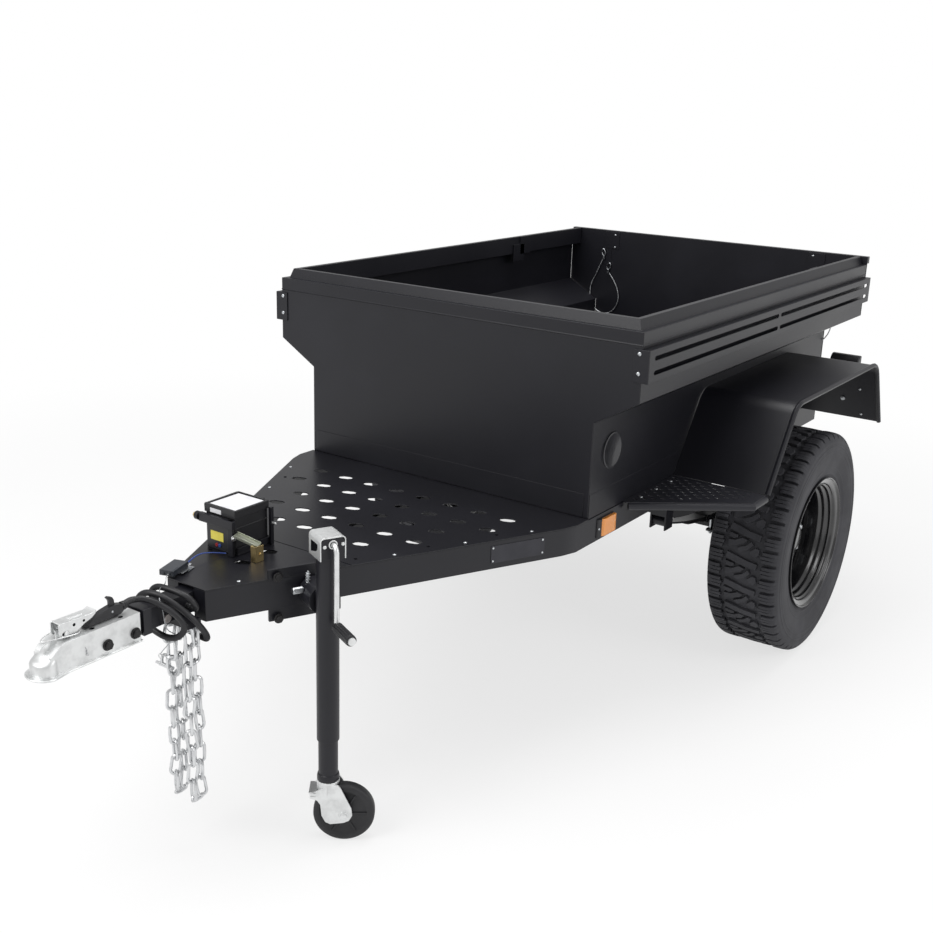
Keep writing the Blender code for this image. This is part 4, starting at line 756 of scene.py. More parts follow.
def gloss_paint():
    """Black gloss enamel under a clear coat, with faint dust that dulls it."""
    finish = Finish("gloss_black_paint", Base_Color=(0.006, 0.006, 0.007), Coat_Roughness=0.05)
    haze = finish.noise(14.0, 4.0, 0.6)
    finish.set("Roughness", haze.over(0.3, 0.8) * 0.14 + 0.14)
    finish.set("Coat Weight", haze * -0.4 + 0.9)
    ripple = finish.noise(60.0, 1.0, 0.5)
    finish.relief(ripple, 0.0002, 0.35, soft_edge=0.001)
    return finish.material


def softened(points, radius, steps=4):
    """A path whose corners are rounded, each by a curve that starts a radius before the corner."""
    path = np.asarray(points, float)
    made = [path[:1]]
    share = np.linspace(0, 1, steps + 1)[:, None]
    for before, corner, after in zip(path, path[1:], path[2:]):
        back, ahead = before - corner, after - corner
        reach = min(radius, 0.45 * np.linalg.norm(back), 0.45 * np.linalg.norm(ahead))
        start = corner + back / np.linalg.norm(back) * reach
        end = corner + ahead / np.linalg.norm(ahead) * reach
        made.append((1 - share) ** 2 * start + 2 * share * (1 - share) * corner + share ** 2 * end)
    return np.concatenate(made + [path[-1:]])


def pierced(name, outlines, low, high, look, body, place, bevel):
    """A flat plate with holes: its outline and holes as filled 2D curves, pulled to its thickness.

    The place turns the plate's flat (a, b, up) into the trailer's own directions.
    """
    curve = bpy.data.curves.new(name, "CURVE")
    curve.dimensions = "2D"
    curve.fill_mode = "BOTH"
    curve.extrude = (high - low) / 2 - bevel
    curve.bevel_depth = bevel
    curve.bevel_resolution = 1
    curve.offset = -bevel
    for outline in outlines:
        spline = curve.splines.new("POLY")
        spline.points.add(len(outline) - 1)
        flat = np.column_stack([outline, np.zeros(len(outline)), np.ones(len(outline))])
        spline.points.foreach_set("co", flat.astype(np.float32).ravel())
        spline.use_cyclic_u = True
    drawn = bpy.data.objects.new(name, curve)
    filled = bpy.data.meshes.new_from_object(drawn)
    mesh = bmesh.new()
    mesh.from_mesh(filled)
    bpy.data.objects.remove(drawn)
    bpy.data.curves.remove(curve)
    bpy.data.meshes.remove(filled)
    bmesh.ops.remove_doubles(mesh, verts=mesh.verts, dist=0.000005)
    bmesh.ops.translate(mesh, verts=mesh.verts, vec=(0, 0, (low + high) / 2))
    bmesh.ops.transform(mesh, matrix=place, verts=mesh.verts)
    bmesh.ops.translate(mesh, verts=mesh.verts, vec=(0, axle_y, 0))
    return dressed(name, mesh, look, body)


def polar(radius, turns):
    return np.stack([radius * np.cos(turns), radius * np.sin(turns)], 1)


def closed_soft(corners, radius, steps=4):
    """A closed outline with rounded corners."""
    corners = np.asarray(corners, float)
    middle = (corners[0] + corners[1]) / 2
    return softened(np.concatenate([[middle], corners[1:], corners[:1], [middle]]), radius, steps)[1:]


gloss_look = gloss_paint()
window_half = math.radians(14.0)
for side, sign in sides:
    centre = (sign * wheel_x, 0, wheel_z)
    out = (sign, 0, 0)
    rim = Shape()
    barrel = softened([(0.0, 0.17), (0.025, 0.1745), (0.054, 0.179), (0.06, 0.186), (0.072, 0.1875),
                       (0.078, 0.1945), (0.086, 0.196), (0.089, 0.1925), (0.093, 0.199), (0.101, 0.201),
                       (0.104, 0.209), (0.106, 0.216), (0.112, 0.219), (0.1138, 0.2205), (0.1128, 0.2222),
                       (0.106, 0.2218), (0.103, 0.218), (0.102, 0.204)], 0.003)
    rim.lathe(barrel, centre, out, 96)
    inner = softened([(0.0, 0.176), (-0.05, 0.185), (-0.09, 0.2), (-0.102, 0.205), (-0.105, 0.218),
                      (-0.112, 0.2215), (-0.1135, 0.218), (-0.106, 0.209), (-0.1, 0.198), (-0.056, 0.18),
                      (0.0, 0.17)], 0.003)
    rim.lathe(inner, centre, out, 96)
    rim.lathe(softened([(0.0, 0.119), (0.005, 0.113), (0.015, 0.104), (0.016, 0.096), (0.012, 0.056),
                        (0.013, 0.049), (0.012, 0.047)], 0.004), centre, out, 96)
    rim.lathe(softened([(0.01, 0.0475), (0.036, 0.0455), (0.044, 0.042), (0.049, 0.033), (0.05, 0.0)],
                       0.004), centre, out, 48)
    rim.lathe(softened([(-0.007, 0.131), (-0.085, 0.131), (-0.085, 0.03), (-0.085, 0.0)], 0.004), centre,
              out, 64)
    rim.finish(f"wheel_rim_{side}_look", gloss_look, "gloss_black", (f"wheel_rim_{side}",),
               angle=math.radians(40), body=f"wheel_{side}")
    windows = []
    for place in range(8):
        mid = math.tau * place / 8
        arc = polar(0.165, mid + window_half * np.linspace(1, -1, 7))
        foot = polar(0.138, mid + window_half * 0.8 * np.array((-1, 1)))
        windows.append(closed_soft(np.concatenate([arc, foot]), 0.009)[::-1])
    ring = polar(0.174, whole_turn(96))
    bore = polar(0.115, whole_turn(64))[::-1]
    stand = Matrix(((0, 0, sign, sign * wheel_x), (1, 0, 0, 0), (0, 1, 0, wheel_z), (0, 0, 0, 1)))
    pierced(f"rim_disc_{side}", [ring, bore, *windows], -0.007, 0.0, gloss_look, f"wheel_{side}",
            stand, 0.0012)
    nuts = Shape()
    for place in range(6):
        turn = math.tau * (place + 0.25) / 6
        foot = np.array([sign * (wheel_x + 0.0125), 0.069 * math.cos(turn),
                         wheel_z + 0.069 * math.sin(turn)])
        nuts.lathe([(0, 0.015), (0.004, 0.0125), (0.004, 0)], foot, out, 20)
        nuts.slab(hexagon(0.0122), 0.002, 0.018, foot, (0, sign, 0), (0, 0, 1))
        nuts.lathe([(0.018, 0.0105), (0.023, 0.0075), (0.0245, 0)], foot, out, 16)
    nuts.finish(f"lug_nuts_{side}", zinc, "gloss_black", width=0.0008, body=f"wheel_{side}")
    valve = Shape()
    seat = np.array([sign * (wheel_x + 0.056), 0.176 * math.cos(1.9), wheel_z + 0.176 * math.sin(1.9)])
    valve.tube([seat, seat + (sign * 0.018, 0.0015, -0.0045), seat + (sign * 0.036, 0.003, -0.009)],
               [0.0055, 0.0045, 0.0035], 12)
    valve.finish(f"valve_{side}", rubber_look, "gloss_black", body=f"wheel_{side}")


# The running gear: a square axle on two stacks of spring leaves, each held by a pair of U-bolts over the
# axle, and two shock absorbers.  All of it is black but the nuts.
rounded("axle_beam", 0.0022, 3)
spring_x = 0.474
spring_half = 0.022
leaf_low_z = 0.4373
leaf_t = 0.007
leaf_rise = 0.075
leaf_reach = 0.5
for side, sign in sides:
    mid = sign * spring_x
    leaves = Shape()
    for place, share in enumerate((1.0, 0.74, 0.48, 0.26)):
        reach = leaf_reach * share - 0.01 * (place == 0)
        y = np.linspace(-reach, reach, 25)
        top = leaf_low_z - leaf_t * place + leaf_rise * (y / leaf_reach) ** 2
        tip = np.clip((reach - np.abs(y)) / 0.03, 0.35, 1) if place else np.ones(25)
        x = mid + np.array((-1, 1, 1, -1)) * spring_half
        rows = np.stack(np.broadcast_arrays(x[None], y[:, None], top[:, None]), -1)
        rows[:, 2:, 2] -= ((leaf_t - 0.0005) * tip)[:, None]
        leaves.grid(rows, closed_columns=True, caps=True)
    for y in (-leaf_reach, leaf_reach):
        eye = (mid, y, leaf_low_z + leaf_rise)
        leaves.lathe([(-0.022, 0.0085), (-0.022, 0.0165), (0.022, 0.0165), (0.022, 0.0085)], eye,
                     (1, 0, 0), 24)
        leaves.rod(-0.021, 0.021, 0.0088, eye, (1, 0, 0), 16)
    leaves.box((mid - spring_half, -0.025, 0.3975), (mid + spring_half, 0.025, 0.4095))
    for y in (-0.19, 0.19):
        clip_z = leaf_low_z + leaf_rise * (y / leaf_reach) ** 2
        leaves.box((mid - 0.0245, y - 0.008, clip_z - 0.024), (mid + 0.0245, y + 0.008, clip_z + 0.0022))
    leaves.box((mid - 0.04, -0.046, 0.3385), (mid + 0.04, 0.046, 0.3465))
    leaves.finish(f"spring_leaves_{side}", nodes=(f"leaf_spring_{side}",), width=0.0006)
    bolts = Shape()
    turn = np.linspace(0, np.pi, 13)
    arch = np.stack([mid + 0.029 * np.cos(turn), np.zeros(13), 0.433 + 0.017 * np.sin(turn)], 1)
    legs = [np.array((mid + 0.029, 0, 0.328)), np.array((mid - 0.029, 0, 0.328))]
    arch = np.concatenate([[legs[0], (mid + 0.029, 0, 0.38)], arch, [(mid - 0.029, 0, 0.38), legs[1]]])
    for y in (-0.033, 0.033):
        bolts.tube(arch + (0, y, 0), 0.0048, 10)
        for leg in legs:
            add_bolt(bolts, leg + (0, y, 0.0105), (0, 0, -1), 0.0085)
    bolts.finish(f"u_bolts_{side}", zinc, "zinc")
    lean = math.radians(28)
    ahead = np.array((0, math.sin(lean), math.cos(lean)))
    foot = np.array((sign * 0.359, 0.025 + 0.021 * math.cos(lean) + 0.0003, 0.372))
    run = (0.6162 - 0.372) / math.cos(lean)
    absorber = Shape()
    absorber.lathe([(0.004, 0), (0.004, 0.0175), (run * 0.46, 0.0175), (run * 0.46, 0.007)], foot, ahead,
                   28)
    absorber.lathe([(run * 0.3, 0.0185), (run * 0.3, 0.021), (run - 0.034, 0.021), (run - 0.028, 0.0185),
                    (run - 0.028, 0.0)], foot, ahead, 28)
    for eye in (0.01, run - 0.014):
        for half, radius, segments in ((0.019, 0.0125, 20), (0.024, 0.006, 12)):
            absorber.rod(-half, half, radius, foot + ahead * eye, (1, 0, 0), segments)
    absorber.finish(f"absorber_{side}", nodes=(f"shock_{side}",))

# The lamps: an amber marker on a black foot on each rail, and a red lamp on an arm behind each fender, in a
# black housing.


def lens_finish(name, colour, deep):
    """A clear coloured lens: prisms in a 4 mm grid seen through a glossy skin."""
    finish = Finish(name, Roughness=0.16, Specular_IOR_Level=0.6)
    place = finish.place()
    parts = finish.node("SeparateXYZ", (), {"Vector": place})
    axes = [Value(finish, parts.socket.node.outputs[axis]) for axis in range(3)]
    prism = (axes[1] * 1550.0).maths("SINE") * (axes[2] * 1550.0).maths("SINE")
    finish.tones(prism.over(-0.6, 0.9), deep, colour)
    finish.set("Coat Weight", 0.8)
    finish.relief(prism, 0.0004, 0.5)
    return finish.material


amber = lens_finish("amber_lens_look", (0.92, 0.36, 0.045), (0.62, 0.19, 0.015))
red = lens_finish("red_lens_look", (0.62, 0.02, 0.018), (0.32, 0.008, 0.008))
plastic = grained("moulded_black_plastic", (0.0105, 0.0105, 0.012), (0.02, 0.02, 0.023), 14.0, 900.0,
                  (0.14, 0.34), (0.00015, 0.5), soft_edge=0.0008, Specular_IOR_Level=0.45)
for side, sign in sides:
    face = 0.5043
    lens = Shape()
    outline = [(0.0016, -0.964), (0.0094, -0.956), (0.0117, -0.948), (0.0117, -0.888), (0.01, -0.8862),
               (0.0016, -0.8862)]
    outline = [(sign * (face + x), y) for x, y in outline]
    lens.slab(outline, 0.6015, 0.6525)
    lens.finish(f"marker_lens_{side}", amber, "amber_lens", width=0.0012, segments=3)
    foot = Shape()
    foot_outline = [(0, -0.9808), (0.005, -0.979), (0.0096, -0.97), (0.007, -0.962), (0.003, -0.961),
                    (0.003, -0.8862), (0, -0.8862)]
    foot.slab([(sign * (face + x), y) for x, y in foot_outline], 0.5996, 0.6544)
    foot.finish(f"marker_foot_{side}", plastic, "black_plastic", (f"side_marker_{side}",), 0.0008)
    screw = Shape()
    add_rivet(screw, (sign * (face + 0.006), -0.9755, 0.627), (sign * 0.8, -0.6, 0), 0.0032, 0.0016)
    screw.finish(f"marker_screw_{side}", zinc, "zinc")

    lamp = Shape()
    shell = [(0.613, 0.8035), (0.613, 0.86), (0.618, 0.874), (0.63, 0.886), (0.644, 0.8875),
             (0.644, 0.8035)]
    profile = np.array(shell)
    rows = []
    for x, inset in ((0.5805, 0.004), (0.584, 0.0), (0.684, 0.0), (0.6875, 0.004)):
        rows.append(np.column_stack([np.full(len(profile), sign * x), profile + (inset, -inset * 0.6)]))
    lamp.grid(np.array(rows), closed_columns=True, caps=True)
    arm_low, arm_high = sorted((sign * 0.5003, sign * 0.59))
    lamp.box((arm_low, 0.6125, 0.8032), (arm_high, 0.617, 0.833))
    add_bolt(lamp, (sign * 0.508, 0.6125, 0.818), (0, -1, 0), 0.006)
    lamp.finish(f"lamp_housing_{side}", plastic, "black_plastic", (f"tail_lamp_{side}",), 0.0012, 3)
    glass = Shape()
    across = np.linspace(-1, 1, 13)
    depth = 0.015 * (1 - np.abs(across) ** 4)
    height = np.array([-1, -0.97, -0.85, 0, 0.85, 0.97, 1])
    bulge = 1 - np.abs(height) ** 6
    rows = np.stack(np.broadcast_arrays(sign * (0.634 + 0.0525 * across)[:, None],
                                        (0.6442 + 0.002 * (np.abs(across) < 1))[:, None]
                                        + depth[:, None] * bulge[None], 0.845 + 0.041 * height[None]), -1)
    back = rows.copy()
    back[..., 1] = 0.6442
    glass.grid(np.concatenate([rows, back[:, ::-1]], 1), closed_columns=True, caps=True)
    glass.finish(f"lamp_lens_{side}", red, "red_lens")

# The coupler: a pressed and plated steel channel over the tongue that ends in a dome for the ball, held by
# two black flange bolts a side, with a U-shaped latch lever and its clip on top.
bright = zinc_plate("coupler_zinc", (0.8, 0.81, 0.81), 0.42, 0.001)
black_bolt = speckled("black_oxide", (0.018, 0.018, 0.02), (0.04, 0.038, 0.038), (300.0,), 500.0,
                      (0.15, 0.3), Metallic=0.7)
coupler_shell = rounded("coupler", 0.0022, 3, look=bright)

# The solid's dome ends square.  Its mesh is cut across at even steps, then each vertex falls by a smooth
# share of its height above the channel's side, and the last of the nose is drawn in.
dome_y, dome_z = -2.376, 0.612
dome_length, dome_fall = 0.06, 0.62
nose_length, nose_in = 0.04, 0.009
cuts = bmesh.new()
cuts.from_mesh(coupler_shell.data)
for y in np.linspace(dome_y, dome_y - dome_length, 9):
    bmesh.ops.bisect_plane(cuts, geom=cuts.verts[:] + cuts.edges[:] + cuts.faces[:],
                           plane_co=(0, y + axle_y, 0), plane_no=(0, 1, 0))
cuts.to_mesh(coupler_shell.data)
cuts.free()
places = np.empty(len(coupler_shell.data.vertices) * 3)
coupler_shell.data.vertices.foreach_get("co", places)
places = places.reshape(-1, 3)
fall = np.clip((dome_y + axle_y - places[:, 1]) / dome_length, 0, 1)
high = np.clip(places[:, 2] - dome_z, 0, None)
places[:, 2] -= high * dome_fall * fall * fall * (3 - 2 * fall)
ball_y = -2.4166
drawn = np.clip((ball_y + axle_y - places[:, 1]) / nose_length, 0, 1)
places[:, 1] += drawn * nose_in
coupler_shell.data.vertices.foreach_set("co", places.ravel())
coupler_shell.data.update()
rounded("tongue_collar", 0.0018, 3)
flange_bolts = Shape()
for side, sign in sides:
    for y in (-2.2737, -2.1982):
        add_bolt(flange_bolts, (sign * 0.0287, y, 0.6168), (sign, 0, 0), 0.0115)
flange_bolts.finish("flange_bolts", black_bolt, width=0.0004)
tongue_bolt = Shape()
for side, sign in sides:
    tongue_bolt.lathe([(-0.001, 0.01), (0.005, 0.01), (0.0062, 0.0086), (0.0062, 0)],
                      (sign * 0.0254, -2.1059, 0.619), (sign, 0, 0), 24)
tongue_bolt.finish("tongue_bolt", zinc_plate("worn_zinc", (0.42, 0.39, 0.38), 0.4), "zinc")
# Two slots a side in the coupler's top are dark ovals laid just over it: painted shade of the slots.
slot_shade = Shape()
turn = whole_turn(20)
for y in (-2.3017, -2.2261):
    for x in (-0.016, 0.016):
        oval = np.stack([x + 0.0044 * np.cos(turn), y + 0.0062 * np.sin(turn)], 1)
        slot_shade.slab(oval, 0.66155, 0.66185)
slot_shade.finish("coupler_slot_shade", hole_shade_and_joint_look)
lip = Shape()
turn = np.pi * (1 + np.linspace(0, 1, 25))
rim = np.stack([0.0412 * np.cos(turn), ball_y + 0.034 * np.sin(turn), np.full(25, 0.5952)], 1)
lip.tube(rim, 0.0021, 10)
for x in (-0.0331, 0.0331):
    lip.tube([(x, ball_y + 0.006, 0.5952), (x, -2.3, 0.5952), (x, -2.1835, 0.5952)], 0.002, 8)
tab = [(-2.426, 0.6535), (-2.418, 0.66), (-2.406, 0.664), (-2.389, 0.665), (-2.389, 0.6675),
       (-2.407, 0.6666), (-2.4195, 0.6626), (-2.4285, 0.6555)]
lip.side_view(tab, -0.008, 0.008)
clip_path = [(0.015, -2.33, 0.6665), (0.0215, -2.342, 0.667), (0.0205, -2.37, 0.669),
             (0.015, -2.395, 0.67), (0.007, -2.412, 0.669), (0.0, -2.417, 0.6685), (-0.007, -2.412, 0.669),
             (-0.015, -2.395, 0.67), (-0.0205, -2.37, 0.669), (-0.0215, -2.342, 0.667),
             (-0.015, -2.33, 0.6665)]
lip.tube(smooth_path(clip_path, 0.004), 0.0013, 8)
lip.finish("coupler_lip", bright, "zinc", width=0.0006)

lever = Shape()
cheek = [(-2.38, 0.6665), (-2.383, 0.674), (-2.3825, 0.696), (-2.379, 0.6985), (-2.365, 0.6975),
         (-2.3, 0.6965), (-2.293, 0.6985), (-2.289, 0.701), (-2.287, 0.699), (-2.289, 0.693),
         (-2.299, 0.686), (-2.32, 0.679), (-2.338, 0.669)]
for low, high in ((-0.015, -0.0122), (0.0122, 0.015)):
    lever.side_view(cheek, low, high)
roof = [(-2.379, 0.695), (-2.365, 0.6945), (-2.3, 0.6935), (-2.2925, 0.6953), (-2.287, 0.699),
        (-2.289, 0.7012), (-2.2935, 0.6984), (-2.3, 0.6965), (-2.365, 0.6975), (-2.3795, 0.6984)]
lever.side_view(roof, -0.0148, 0.0148)
lever.side_view([(-2.35, 0.6968), (-2.315, 0.6963), (-2.315, 0.698), (-2.35, 0.6985)], -0.004, 0.004)
lever.finish("latch_lever", bright, "zinc", ("coupler_latch",), 0.0008, body="coupler_latch")
# Two holes in each cheek of the lever are dark discs on it: painted shade of the holes.
lever_hole_shade = Shape()
for sign in (-1, 1):
    for y, z, r in ((-2.345, 0.686, 0.0036), (-2.32, 0.687, 0.003)):
        lever_hole_shade.lathe([(0.0002, 0), (0.0002, r), (-0.001, r)], (sign * 0.015, y, z), (sign, 0, 0), 18)
lever_hole_shade.finish("lever_hole_shade_marks", hole_shade_and_joint_look, "zinc", body="coupler_latch")
pins = Shape()
for sign in (-1, 1):
    pins.lathe([(-0.001, 0.0038), (0.0004, 0.0038), (0.0004, 0.0066), (0.0018, 0.0066), (0.0026, 0.005),
                (0.0026, 0)], (sign * 0.015, -2.365, 0.6725), (sign, 0, 0), 20)
pins.finish("latch_pin_heads", bright, "zinc")


# The safety chains: round-wire links, each turned a quarter from the last, hung double on each side of the
# tab under the tongue, with a shackle on the right chain and a fine chain on the latch's clip.
def link_path(points_count, half_height, half_width):
    """A stadium in a plane, from its centre: two straights joined by half circles."""
    turn = whole_turn(points_count)
    straight = half_height - half_width
    rise = half_width * np.sin(turn) + np.sign(np.sin(turn)) * straight
    return np.stack([half_width * np.cos(turn), rise], 1)


def add_links(shape, start, end, count, wire, half_width, first_turn=0.0, wobble=0.0, seed=1, sway=0.0):
    """Links hung end to end between two places, as closed bent bars."""
    start, end = np.asarray(start, float), np.asarray(end, float)
    ahead, across, over = axes_of(end - start)
    pitch = np.linalg.norm(end - start) / count
    draw = np.random.default_rng(seed)
    flat = link_path(20, pitch / 2 + wire * 0.92, half_width)
    sides_count = 8 if wire > 0.002 else 5
    for place in range(count):
        angle = first_turn + place * np.pi / 2 + draw.normal(0, wobble)
        aside = across * math.cos(angle) + over * math.sin(angle)
        lean = draw.normal(0, wobble * 0.35)
        aside, up = (aside * math.cos(lean) + ahead * math.sin(lean),
                     ahead * math.cos(lean) - aside * math.sin(lean))
        middle = start + ahead * pitch * (place + 0.5)
        middle += across * sway * math.sin(place * 0.9 + seed) + over * sway * math.sin(place * 1.3 + seed)
        shape.tube(middle + flat[:, :1] * aside + flat[:, 1:] * up, wire, sides_count, closed=True)


chain_zinc = zinc_plate("chain_zinc", (0.7, 0.71, 0.72), 0.26, 0.0004)
for side, sign in sides:
    chain = Shape()
    x = sign * 0.029 + 0.024
    for place, y in enumerate((-2.0725, -2.0475)):
        add_links(chain, (x, y, 0.585), (x, y, 0.148), 10, 0.004, 0.0112, place * np.pi / 2 + 0.5, 0.24,
                  seed=7 + place + sign, sway=0.003)
    turn = whole_turn(28)
    for z, half in ((0.141, 0.0045), (0.584, 0.0045)):
        ring = np.stack([np.full(28, x), -2.06 + 0.017 * np.cos(turn), z + half * np.sin(turn)], 1)
        chain.tube(ring, 0.0038, 8, closed=True)
    chain.finish(f"chain_links_{side}", chain_zinc, "zinc", (f"safety_chain_{side}",))
shackle = Shape()
bow = np.linspace(-0.15 * np.pi, 1.15 * np.pi, 20)
bow_path = np.stack([-0.025 + 0.013 * np.cos(bow), np.full(20, -2.072), 0.48 + 0.019 * np.sin(bow)], 1)
shackle.tube(bow_path, 0.004, 8)
shackle.lathe([(-0.024, 0), (-0.024, 0.0052), (0.02, 0.0052), (0.02, 0.0036), (0.032, 0.0036), (0.032, 0)],
              (-0.025, -2.072, 0.471), (-1, 0, 0), 14)
shackle.finish("shackle", chain_zinc, "zinc")
fine_chain = Shape()
add_links(fine_chain, (0.0215, -2.333, 0.66), (0.0315, -2.328, 0.613), 9, 0.0007, 0.0019, 0.3, 0.2, seed=3)
fine_chain.finish("fine_chain", chain_zinc, "zinc")

# The jack: a black tube on a swivel plate on the left arm, with a plated gear cover folded over its head, a
# bent crank with a ribbed grip, a spring pull pin, and a dual-plate caster under the inner tube.
jack_along = 0.2604
jack_out = 0.102
jack_centre = on_arm(jack_along, jack_out, 0)
up = np.array((0.0, 0.0, 1.0))
for node, body in (("jack_tube", "jack"), ("jack_inner_tube", "jack_leg")):
    rounded(node, body=body)
bracket = Shape()
bracket.slab(rect(0.1535, 0.56, 0.338, 0.6925), -0.0083, -0.0003, arm_nose, arm_along, up)
bracket.lathe([(0.006, 0), (0.006, 0.033), (0.0105, 0.03), (0.011, 0.0238), (0.0735, 0.0238), (0.0735, 0)],
              on_arm(jack_along, 0, 0.6287), arm_out, 40)
bracket.finish("swivel_bracket", nodes=("jack_bracket",), width=0.0012)
plate_bolts = Shape()
for z in (0.6745, 0.569):
    add_bolt(plate_bolts, on_arm(0.1745, 0.0083, z), arm_out, 0.0105)
plate_bolts.finish("bracket_bolts", black_bolt, width=0.0004)
pull_pin = Shape()
pull_start = on_arm(0.237, 0.03, 0.643)
pull_eye = on_arm(0.241, 0.03, 0.643)
pull_pin.lathe([(-0.036, 0), (-0.036, 0.0072), (-0.034, 0.0085), (-0.012, 0.0085), (-0.01, 0.0072),
                (-0.01, 0.0035), (-0.002, 0.0035), (-0.002, 0.006), (0.004, 0.006), (0.004, 0.0)],
               pull_start, arm_along, 20)
turn = np.linspace(0, 2 * np.pi * 4.5, 90)
coil = (on_arm(0.241, 0.03, 0.65) + arm_along * (0.0052 * np.cos(turn))[:, None]
        + arm_out * (0.0052 * np.sin(turn))[:, None] + up * np.linspace(0, 0.034, 90)[:, None])
pull_pin.tube(coil, 0.001, 6)
pull_pin.lathe([(-0.004, 0), (-0.004, 0.0026), (0.04, 0.0026), (0.042, 0.0018), (0.042, 0)],
               on_arm(0.241, 0.03, 0.646), up, 14)
pull_pin.box(pull_eye - (0.004, 0.004, 0.004), pull_eye + (0.004, 0.004, 0.004))
pull_pin.slab(rect(-0.008, -0.006, 0.008, 0.006), 0.0002, 0.025, on_arm(0.241, 0.0083, 0.643), arm_along,
              up)
pull_pin.finish("pull_pin", zinc, "zinc", width=0.0004)
pin_chain = Shape()
add_links(pin_chain, on_arm(0.301, 0.014, 0.67), on_arm(0.304, 0.015, 0.585), 9, 0.0009, 0.0034, 0.4, 0.2,
          seed=5)
pin_chain.finish("pin_chain", chain_zinc, "zinc")

head_half = 0.032
head_out = 0.034
head_low, head_high = 0.7503, 0.806
crank_z = 0.7876
sheet = 0.0028
core = Shape()
core_outline = [(-head_half + 0.0008, head_low), (head_half - 0.0008, head_low),
                (head_half - 0.0008, head_high - 0.012), (head_half - 0.011, head_high - 0.0032),
                (-head_half + 0.011, head_high - 0.0032), (-head_half + 0.0008, head_high - 0.012)]
for low, high in ((-head_out + 0.0016, -head_out + 0.005), (head_out - 0.005, head_out - 0.0016)):
    core.slab(core_outline, -high, -low, jack_centre, arm_along, up)
core.lathe([(head_low, 0), (head_low, 0.024), (head_high - 0.02, 0.022), (head_high - 0.018, 0)],
           jack_centre, up, 28)
core.finish("jack_core", width=0.001, body="jack")
cover = Shape()
turn = np.linspace(0, np.pi / 2, 7)
fold_r = 0.01


def fold_line(inset):
    """Half of the cover's section from its foot over the fold to the middle, drawn in by an inset."""
    half, top, r = head_half - inset, head_high - inset, fold_r - inset
    arc = np.stack([half - r + r * np.cos(turn), top - r + r * np.sin(turn)], 1)
    return np.concatenate([[(half, head_low)], arc])


outer, inner = fold_line(0.0), fold_line(sheet)
outer = np.concatenate([outer, outer[::-1] * (-1, 1)])
inner = np.concatenate([inner, inner[::-1] * (-1, 1)])
rows = []
for out in (-head_out, head_out):
    for section in (outer, inner):
        rows.append(jack_centre + arm_out * out + arm_along * section[:, :1] + up * section[:, 1:])
rows = np.array(rows)
cover.grid(np.stack([rows[0], rows[2], rows[3], rows[1]]), closed_rows=True)
for end in (0, -1):
    cover.add(np.array([rows[0][end], rows[2][end], rows[3][end], rows[1][end]]), [[0, 1, 2, 3]])
cover.finish("jack_cover", bright, "zinc", ("jack_gear_head",), 0.0004, body="jack")
# A window in the cover's side is a dark sheet laid on it: painted shade of the jack's inside behind it.
window_shade = Shape()
window_outline = [(-0.02, 0.76), (0.01, 0.769), (0.018, 0.776), (0.018, 0.788), (-0.02, 0.788)]
window_shade.slab(window_outline, 0.0001, 0.0005, on_arm(jack_along - head_half, jack_out, 0), arm_out, up)
window_shade.finish("cover_window_shade", hole_shade_and_joint_look, "zinc", body="jack")
head_bolts = Shape()
for along, z in ((-0.02, 0.7836), (0.025, 0.7857)):
    add_rivet(head_bolts, on_arm(jack_along + along, jack_out + head_out - 0.0016, z), arm_out, 0.0048,
              0.0028)
head_bolts.lathe([(-0.001, 0.0075), (-0.001, 0.011), (0.0014, 0.011), (0.0018, 0.01), (0.0018, 0.0078)],
                 on_arm(jack_along, jack_out + head_out - 0.0016, crank_z), arm_out, 28)
head_bolts.finish("head_bolts", bright, "zinc", body="jack")

crank_r = 0.0062
crank_foot = on_arm(jack_along, jack_out + head_out + 0.0003, crank_z)
bend = 0.015
arm_plane = 0.019
turn = np.linspace(0, np.pi / 2, 8)[1:-1]
crank_drop = 0.196


def crank_at(out, down):
    """A place in the crank's plane, from where its rod enters the cover."""
    return crank_foot + arm_out * out - up * down


first_bend = [crank_at(arm_plane - bend + bend * math.sin(a), bend * (1 - math.cos(a))) for a in turn]
second_bend = [crank_at(arm_plane + bend * (1 - math.cos(a)), crank_drop - bend + bend * math.sin(a))
               for a in turn]
crank_path = [crank_foot, crank_at(arm_plane - bend, 0), *first_bend, crank_at(arm_plane, bend),
              crank_at(arm_plane, 0.07), crank_at(arm_plane, 0.13), crank_at(arm_plane, crank_drop - bend),
              *second_bend, crank_at(arm_plane + bend, crank_drop), crank_at(0.106, crank_drop)]
crank = Shape().tube(crank_path, crank_r, 14)
crank.lathe([(0.0988, 0), (0.0988, 0.0094), (0.1072, 0.0094), (0.1084, 0.008), (0.1084, 0)],
            crank_foot - up * crank_drop, arm_out, 24)
crank.finish("crank_rod", bright, "zinc", ("jack_crank",), body="jack_crank")
grip = Shape()
turn = whole_turn(96)
ribs = 0.0008 * np.clip(np.cos(turn * 16) * 2.0, -1, 1)
grip_start = 0.015
stations = np.array([0.0, 0.0006, 0.003, 0.006, 0.01, 0.03, 0.055, 0.078, 0.083, 0.087, 0.088])
swell = np.array([0.0085, 0.0105, 0.0122, 0.013, 0.0128, 0.0126, 0.0128, 0.0132, 0.0134, 0.0128, 0.0098])
fade = np.array([0, 0, 0, 0.3, 1, 1, 1, 0.3, 0, 0, 0])
radius = swell[:, None] + fade[:, None] * ribs[None]
place = (crank_foot - up * crank_drop + arm_out * (grip_start + stations)[:, None, None]
         + radius[..., None] * (np.cos(turn)[None, :, None] * arm_along + np.sin(turn)[None, :, None] * up))
grip.grid(place, closed_columns=True, caps=True)
grip.finish("crank_grip", plastic, "black_plastic", body="jack_crank")

